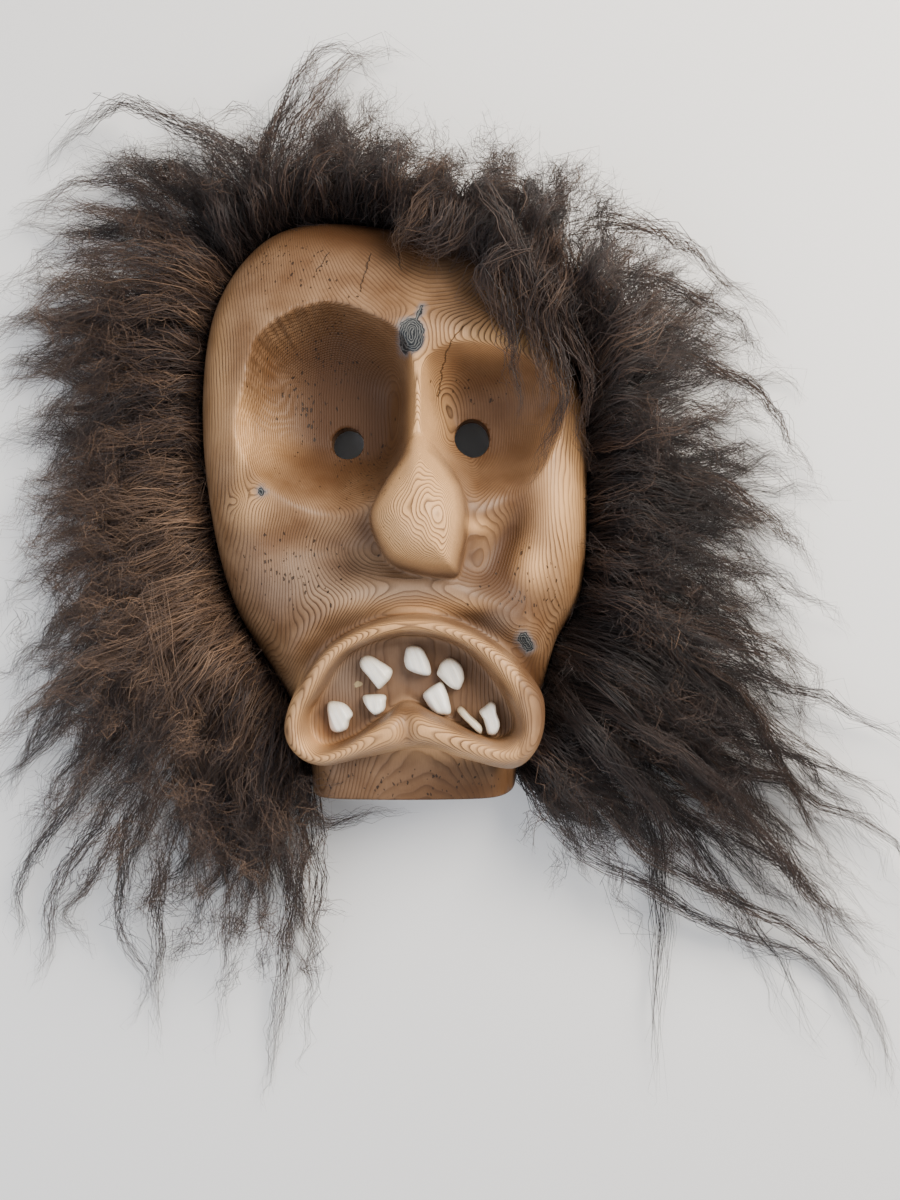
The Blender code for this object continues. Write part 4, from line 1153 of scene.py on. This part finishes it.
    # Nothing sinks into the floor
    parts = add("ShaderNodeSeparateXYZ", None, [where])
    level = add("ShaderNodeMath", "MAXIMUM", [parts.outputs[2], fleece["lowest"]])
    lying = add("GeometryNodeSetPosition", None, {
        "Geometry": trimmed,
        "Position": add("ShaderNodeCombineXYZ", None, [parts.outputs[0], parts.outputs[1], level])})
    tone = add("ShaderNodeMath", "ADD", [stored["lockTone"], own["tone"]])
    lying = add("GeometryNodeStoreNamedAttribute", {"data_type": "FLOAT", "domain": "POINT"},
                {"Geometry": lying, "Name": "tone", "Value": tone})

    # A strand swells from its root and thins out to its tip
    thin = add("ShaderNodeMath", "POWER", [
        add("ShaderNodeMath", "SUBTRACT", [1.03, along]), fleece["thinning"]])
    swell = add("ShaderNodeMath", "MINIMUM", [
        add("ShaderNodeMath", "MULTIPLY_ADD", [along, *fleece["swell"]]), 1.0])
    thick = add("ShaderNodeMath", "MULTIPLY", [
        add("ShaderNodeMath", "MULTIPLY", [given["Thickness"], own["thickness"]]),
        add("ShaderNodeMath", "MULTIPLY", [thin, swell])])
    profile = add("GeometryNodeCurvePrimitiveCircle", {"mode": "RADIUS"},
                  {"Resolution": 3, "Radius": 1.0})
    solid = add("GeometryNodeCurveToMesh", None, {
        "Curve": lying, "Profile Curve": profile, "Scale": thick, "Fill Caps": True})
    shaded = add("GeometryNodeSetShadeSmooth", None, {"Geometry": solid})
    real = add("GeometryNodeRealizeInstances", None, {0: shaded})
    final = add("GeometryNodeSetMaterial", None, {"Geometry": real, "Material": material})
    tree.links.new(final.outputs[0], result.inputs[0])
    return tree


def grow(piece, tree, values):
    # Runs the tree on the guides and keeps its result as a plain mesh
    step = piece.modifiers.new("strands", "NODES")
    step.node_group = tree
    for item in tree.interface.items_tree:
        if item.item_type == "SOCKET" and item.in_out == "INPUT" and item.name in values:
            step[item.identifier] = values[item.name]
    return applied(piece)


def woolMaterial():
    # Dark wool, washed but not dyed: nearly black strands with a brown cast, browner where it
    # is matted, with a soft sheen along the strands
    material, tree, shader = newMaterial("dark brown wool")
    add = partial(addNode, tree)
    colour = add("ShaderNodeValToRGB", {"stops": fleece["colours"]}, [
        add("ShaderNodeAttribute", {"attribute_name": "tone"}).outputs["Fac"]])
    tree.links.new(colour.outputs[0], shader.inputs["Base Color"])
    shader.inputs["Roughness"].default_value = 0.48
    shader.inputs["Specular IOR Level"].default_value = 0.42
    shader.inputs["Sheen Weight"].default_value = 0.06
    return material


def feltMaterial():
    # The same wool felted down on its hide: dull, knobbly and nearly black
    material, tree, shader = newMaterial("felted brown wool")
    add = partial(addNode, tree)
    tufts = add("ShaderNodeTexNoise", None, {
        "Vector": add("ShaderNodeTexCoord").outputs["Object"], "Scale": 210.0, "Detail": 5.0,
        "Distortion": 1.5})
    tone = add("ShaderNodeMath", "MULTIPLY_ADD", [
        add("ShaderNodeAttribute", {"attribute_name": "tone"}).outputs["Fac"], 2.0, tufts])
    colour = add("ShaderNodeValToRGB", {"stops": mat["colours"]}, [tone])
    tree.links.new(colour.outputs[0], shader.inputs["Base Color"])
    shader.inputs["Roughness"].default_value = 0.95
    shader.inputs["Specular IOR Level"].default_value = 0.2
    bump = add("ShaderNodeBump", None, {
        "Strength": 1.0, "Distance": mat["knobs"], "Height": tufts})
    tree.links.new(bump.outputs[0], shader.inputs["Normal"])
    return material


# the felted layer under the strands, which closes the view through them
mat = {
    "least": 0.10, "share": 0.23, "longest": 0.48, "ragged": 0.1, "bend": 0.42,
    "height": 0.58, "columnsPerLock": 5, "under": 8, "low": 1.5, "foot": 0.4, "away": 1.5,
    "knobs": 0.003,
    "rows": (0, 0.02, 0.08, 0.2, 0.35, 0.5, 0.65, 0.8, 0.92, 1),
    "colours": [(0.35, "#120e0d"), (0.8, "#3b2d26")],
}


def matBase(name, locks, tone):
    # From the edge of the wood outwards, a little shorter between the locks
    count = (len(locks) - 1) * mat["columnsPerLock"] + 1
    grid = []
    for place in np.linspace(0, len(locks) - 1, count):
        angle, reach, heading, setting, height = lockAt(locks, place)
        length = (mat["least"] + mat["share"] * min(reach, mat["longest"])) * fleece["reach"]
        length *= 1 - mat["ragged"] * (1 - math.cos(2 * math.pi * place))
        root = direction(angle) * (edgeReach(math.radians(angle)) + mat["away"])
        bend = root + direction(setting) * mat["bend"] * length
        tip = root + direction(heading) * length
        line = []
        for way in mat["rows"]:
            spot = root * (1 - way) ** 2 + 2 * bend * way * (1 - way) + tip * way ** 2
            fall = (1 - way) ** 1.1 * (1 + 0.9 * way) * mat["height"]
            rise = 0.35 + 0.65 * min(1, way / 0.2) ** 0.5
            line.append((*spot, max(mat["low"], (height - mat["under"]) * fall * rise)))
        grid.append(line)
    x, y, z = np.array(grid).transpose(2, 1, 0)
    points, faces = closedSheet(x, y, z, mat["foot"])
    piece = meshObject(name, points * mm + faceOrigin, faces)
    setAttribute(piece.data, "tone", np.full(len(piece.data.vertices), tone))
    piece.data.materials.append(felt)
    return piece


# how much browner, x, y, reach sideways, reach up and down, turn
matted = [(0.48, -135, -70, 66, 95, 0)]


def brownness(path):
    # Matted brown wool lies beside the left cheek
    return moundHeight(path[:, 0], path[:, 1], matted)


wool = woolMaterial()
felt = feltMaterial()
strands = strandTree("wool strands", wool)
fleeceLow, fleeceHigh = [(np.array(corner[:2]) - faceOrigin[:2]) / mm for corner in cadBox]
rng = np.random.default_rng(fleece["seed"])
# points of the long locks that stand out, and of five in the fringe: x, y and height
longLocks = {
    "crown": [
        [(-88, 231, 62), (-127, 258, 50), (-170, 281, 38), (-194, 294, 28), (-230, 281, 16),
         (-252, 262, 10), (-273, 246, 6)],
        [(-133, 195, 55), (-163, 221, 42), (-187, 237, 32), (-230, 244, 18), (-261, 231, 9),
         (-289, 225, 5)],
        [(-134, 193, 50), (-161, 211, 40), (-182, 215, 30), (-218, 206, 20), (-261, 214, 10),
         (-289, 223, 5)],
        [(-84, 219, 70), (-85, 246, 60), (-80, 276, 48), (-70, 306, 38), (-54, 331, 28),
         (-38, 336, 22), (-27, 328, 16), (-11, 309, 10)],
        [(-73, 216, 70), (-72, 249, 55), (-67, 274, 45), (-56, 296, 35), (-45, 315, 26),
         (-35, 328, 20), (-20, 337, 14), (0, 338, 10), (14, 335, 8)],
        [(-84, 209, 70), (-90, 233, 60), (-88, 259, 48), (-78, 284, 38), (-62, 302, 30),
         (-42, 305, 22)],
    ],
    "left": [
        [(-128, 153, 60), (-167, 144, 48), (-206, 130, 34), (-249, 116, 18), (-283, 93, 6)],
        [(-138, 64, 60), (-176, 54, 46), (-206, 33, 34), (-233, 16, 22), (-258, -5, 12),
         (-280, -33, 5)],
        [(-139, 126, 58), (-192, 111, 40), (-241, 87, 20), (-271, 53, 8)],
        [(-139, 93, 58), (-184, 82, 44), (-224, 57, 28), (-254, 31, 14), (-268, 7, 6)],
    ],
    "beard": [
        [(-155, -36, 92), (-151, -61, 96), (-144, -96, 92), (-139, -137, 82), (-126, -169, 68),
         (-124, -212, 48), (-118, -250, 32), (-123, -297, 18), (-129, -344, 8), (-135, -382, 4),
         (-130, -400, 3)],
        [(-70, -181, 66), (-71, -216, 50), (-72, -240, 38), (-79, -285, 22), (-85, -330, 12),
         (-91, -368, 6), (-95, -400, 4), (-98, -429, 3)],
        [(-162, -180, 70), (-184, -217, 48), (-193, -255, 32), (-199, -291, 20), (-193, -307, 15),
         (-181, -325, 10), (-187, -349, 6), (-200, -369, 3)],
        [(-139, -187, 68), (-156, -216, 50), (-165, -246, 36), (-172, -270, 26), (-172, -301, 16),
         (-178, -331, 9), (-176, -386, 3)],
        [(-163, -175, 66), (-194, -218, 44), (-222, -260, 24), (-243, -281, 14), (-236, -292, 9),
         (-221, -316, 4)],
        [(-178, -172, 60), (-208, -214, 40), (-236, -244, 24), (-250, -274, 14), (-255, -312, 7),
         (-270, -339, 3)],
        [(-204, -170, 55), (-244, -216, 30), (-268, -246, 18), (-277, -269, 11), (-273, -290, 7),
         (-282, -314, 3)],
        [(-81, -152, 80), (-70, -172, 64), (-63, -197, 40), (-52, -215, 22), (-40, -213, 14),
         (-24, -208, 9), (9, -208, 6)],
        [(-188, -81, 70), (-222, -109, 50), (-250, -139, 32), (-272, -176, 16), (-283, -207, 6)],
    ],
    "right": [
        [(98, 178, 84), (140, 194, 72), (179, 193, 58), (208, 184, 40), (227, 171, 26),
         (252, 158, 14), (280, 137, 5)],
        [(126, 160, 78), (172, 160, 66), (202, 149, 52), (239, 136, 34), (250, 118, 22),
         (256, 96, 10)],
        [(150, 116, 66), (208, 104, 54), (242, 95, 40), (265, 77, 26), (277, 56, 16),
         (292, 44, 10), (302, 22, 5)],
        [(150, 40, 66), (218, 25, 52), (248, 8, 38), (280, -15, 22), (300, -36, 12),
         (308, -56, 5)],
        [(150, -50, 62), (202, -76, 54), (237, -87, 38), (275, -95, 22), (289, -115, 12),
         (290, -160, 4)],
        [(140, -50, 66), (179, -70, 58), (220, -71, 44), (265, -85, 26), (299, -107, 14),
         (302, -126, 8), (294, -146, 4)],
        [(140, -66, 64), (191, -89, 56), (236, -115, 44), (264, -162, 30), (289, -207, 18),
         (315, -248, 9), (361, -280, 4)],
        [(120, -170, 60), (165, -223, 50), (223, -258, 32), (281, -289, 18), (312, -314, 10),
         (341, -346, 6), (353, -374, 4), (356, -403, 3), (362, -431, 3)],
        [(92, -168, 56), (108, -208, 50), (122, -227, 50), (168, -248, 40), (212, -280, 24),
         (255, -299, 14), (293, -312, 8), (317, -336, 5), (336, -374, 4), (348, -417, 3)],
        [(170, -170, 56), (249, -215, 34), (295, -268, 18), (329, -286, 9), (361, -297, 4)],
        [(180, -190, 56), (278, -244, 26), (322, -291, 12), (361, -330, 4)],
    ],
    "fringe": [
        [(48, 204, 128), (69, 178, 126), (83, 146, 120), (98, 130, 112), (116, 124, 104),
         (129, 135, 98), (131, 147, 94)],
        [(66, 156, 128), (72, 116, 116), (77, 98, 110), (76, 87, 106), (81, 68, 103),
         (78, 55, 100)],
        [(91, 158, 122), (97, 118, 112), (103, 99, 108), (108, 74, 105), (103, 52, 103),
         (92, 33, 101), (83, 11, 99)],
        [(104, 154, 116), (109, 122, 108), (125, 86, 94), (122, 55, 84), (133, 25, 74)],
        [(78, 157, 124), (85, 124, 114), (92, 100, 110), (96, 70, 104), (93, 52, 100)],
    ],
}
# how light the wool of each part is, on the ramp of the wool material
shade = {"crown": 0.17, "left": 0.38, "beard": 0.20, "right": 0.08, "fringe": 0.26,
         "long": 0.27}
lockTables = {"crown": crownLocks, "left": leftLocks, "beard": beardLocks, "right": rightLocks}
# part, lowest and highest layer, bundles, strands in a bundle
bundles = [
    ("crown", 0.0, 0.55, 56, 38), ("crown", 0.55, 1.0, 66, 28), ("left", 0.0, 0.6, 46, 34),
    ("left", 0.6, 1.0, 60, 28), ("beard", 0.0, 0.55, 54, 38), ("beard", 0.55, 1.0, 66, 28),
    ("right", 0.0, 0.5, 62, 40), ("right", 0.5, 1.0, 68, 28),
]
# part, tufts, tone
fuzz = [("crown", 150, 0.22), ("left", 130, 0.36), ("beard", 220, 0.36), ("right", 200, 0.18)]
# part, tone of the felt under it
mats = [("crown", 0.02), ("left", 0.08), ("beard", 0.10), ("right", 0.02)]


def handOverWool(piece, part):
    handOver(piece, "fleece_" + part)


def woolPiece(name, part, paths, spreads, tones, values):
    piece = guideMesh(name, paths, spreads, tones)
    grow(piece, strands, {"Seed": int(rng.integers(1000)), **values})
    piece.data.calc_loop_triangles()
    print(name, len(piece.data.loop_triangles))
    handOverWool(piece, part)


way = np.linspace(0, 1, fleece["points"])
for part, lowest, highest, count, perBundle in bundles:
    locks, onTop = lockTables[part], highest == 1
    paths, spreads, tones = [], [], []
    for number in range(count):
        layer = rng.uniform(lowest, highest)
        place = (number + rng.uniform(0.1, 0.9)) / count * (len(locks) - 1)
        longest = 1.0 - 0.42 * layer * rng.uniform(0.2, 1.2)
        if number % 3 == 0:  # a long one near the middle of a lock
            place = round(place) + rng.normal(0, 0.1)
            longest = rng.uniform(0.98, 1.08)
        place = min(max(place, 0), len(locks) - 1)
        if part == "beard" and place > 4.5:  # shorter under the chin
            longest = longest * rng.uniform(0.5, 0.88)
        path = lockGuide(rng, locks, place, layer, longest)
        paths.append(path)
        spreads.append(rng.uniform(*draw["lockWidth"])
                       * np.interp(way, [0, 0.25, 0.7, 1], [0.7, 1, 0.55, 0.1]))
        tones.append(shade[part] + rng.normal(0, draw["lockTone"]) + brownness(path) + 0.1 * way)
    woolPiece("wool_%s_%s" % (part, "top" if onTop else "low"), part, paths, spreads, tones, {
        "Strands per lock": perBundle, "Points": 17 if onTop else 13, "Shortest": 0.62,
        "Frizz reach": 0.014 if onTop else 0.019,
        "Thickness": fleece["thickness"] * (1.0 if onTop else 1.25)})
for part, count, tone in fuzz:
    paths = [fuzzGuide(rng, lockTables[part]) for number in range(count)]
    spreads = [np.full(fleece["fuzzPoints"], rng.uniform(*draw["fuzzWidth"])) for path in paths]
    tones = [tone + rng.normal(0, draw["fuzzTone"]) + 0.7 * brownness(path) for path in paths]
    woolPiece("wool_fuzz_" + part, part, paths, spreads, tones, {
        "Strands per lock": 14, "Points": fleece["fuzzPoints"], "Frizz": fleece["fuzzFrizz"],
        "Frizz reach": fleece["fuzzFrizzReach"], "Thickness": fleece["thickness"] * 0.75,
        "Flyaway": 0.0, "Latest start": 0.3})
# The forelocks, longest over the middle of the forehead
paths, spreads, tones = [], [], []
for number in range(fleece["fringeLocks"]):
    angle = rng.uniform(43, 91)
    reach = np.interp(angle, [43, 52, 62, 72, 82, 91], [22, 50, 76, 76, 46, 14])
    reach = reach * rng.uniform(0.5, 1.05)
    paths.append(fringeGuide(rng, angle, reach, np.interp(angle, [43, 60, 91], [122, 132, 102])))
    spreads.append(rng.uniform(*draw["fringeWidth"]) * np.interp(way, [0, 0.5, 1], [1, 0.9, 0.3]))
    tones.append(np.full(fleece["points"], shade["fringe"] + rng.normal(0, draw["lockTone"])))
woolPiece("wool_fringe", "crown", paths, spreads, tones,
          {"Strands per lock": 54, "Latest start": 0.25})
way = np.linspace(0, 1, fleece["lockPoints"])
for group in ("crown", "fringe", "left", "beard", "right"):
    paths = [drawnGuide(line, fleece["lockPoints"]) for line in longLocks[group]]
    spreads = [rng.uniform(*draw["longWidth"])
               * np.interp(way, [0, 0.3, 0.8, 1], [1.6, 1, 0.5, 0.15]) for path in paths]
    tones = [shade["long"] + brownness(path) + rng.normal(0, draw["longTone"]) for path in paths]
    woolPiece("wool_locks_" + group, "crown" if group == "fringe" else group, paths, spreads,
              tones, {"Strands per lock": 38, "Points": fleece["lockPoints"], "Shortest": 0.7,
                      "Latest start": 0.3, "Frizz": fleece["frizz"] * 0.8})
for part, tone in mats:
    handOverWool(matBase("wool_mat_" + part, lockTables[part], tone), part)
print("fleece is done")
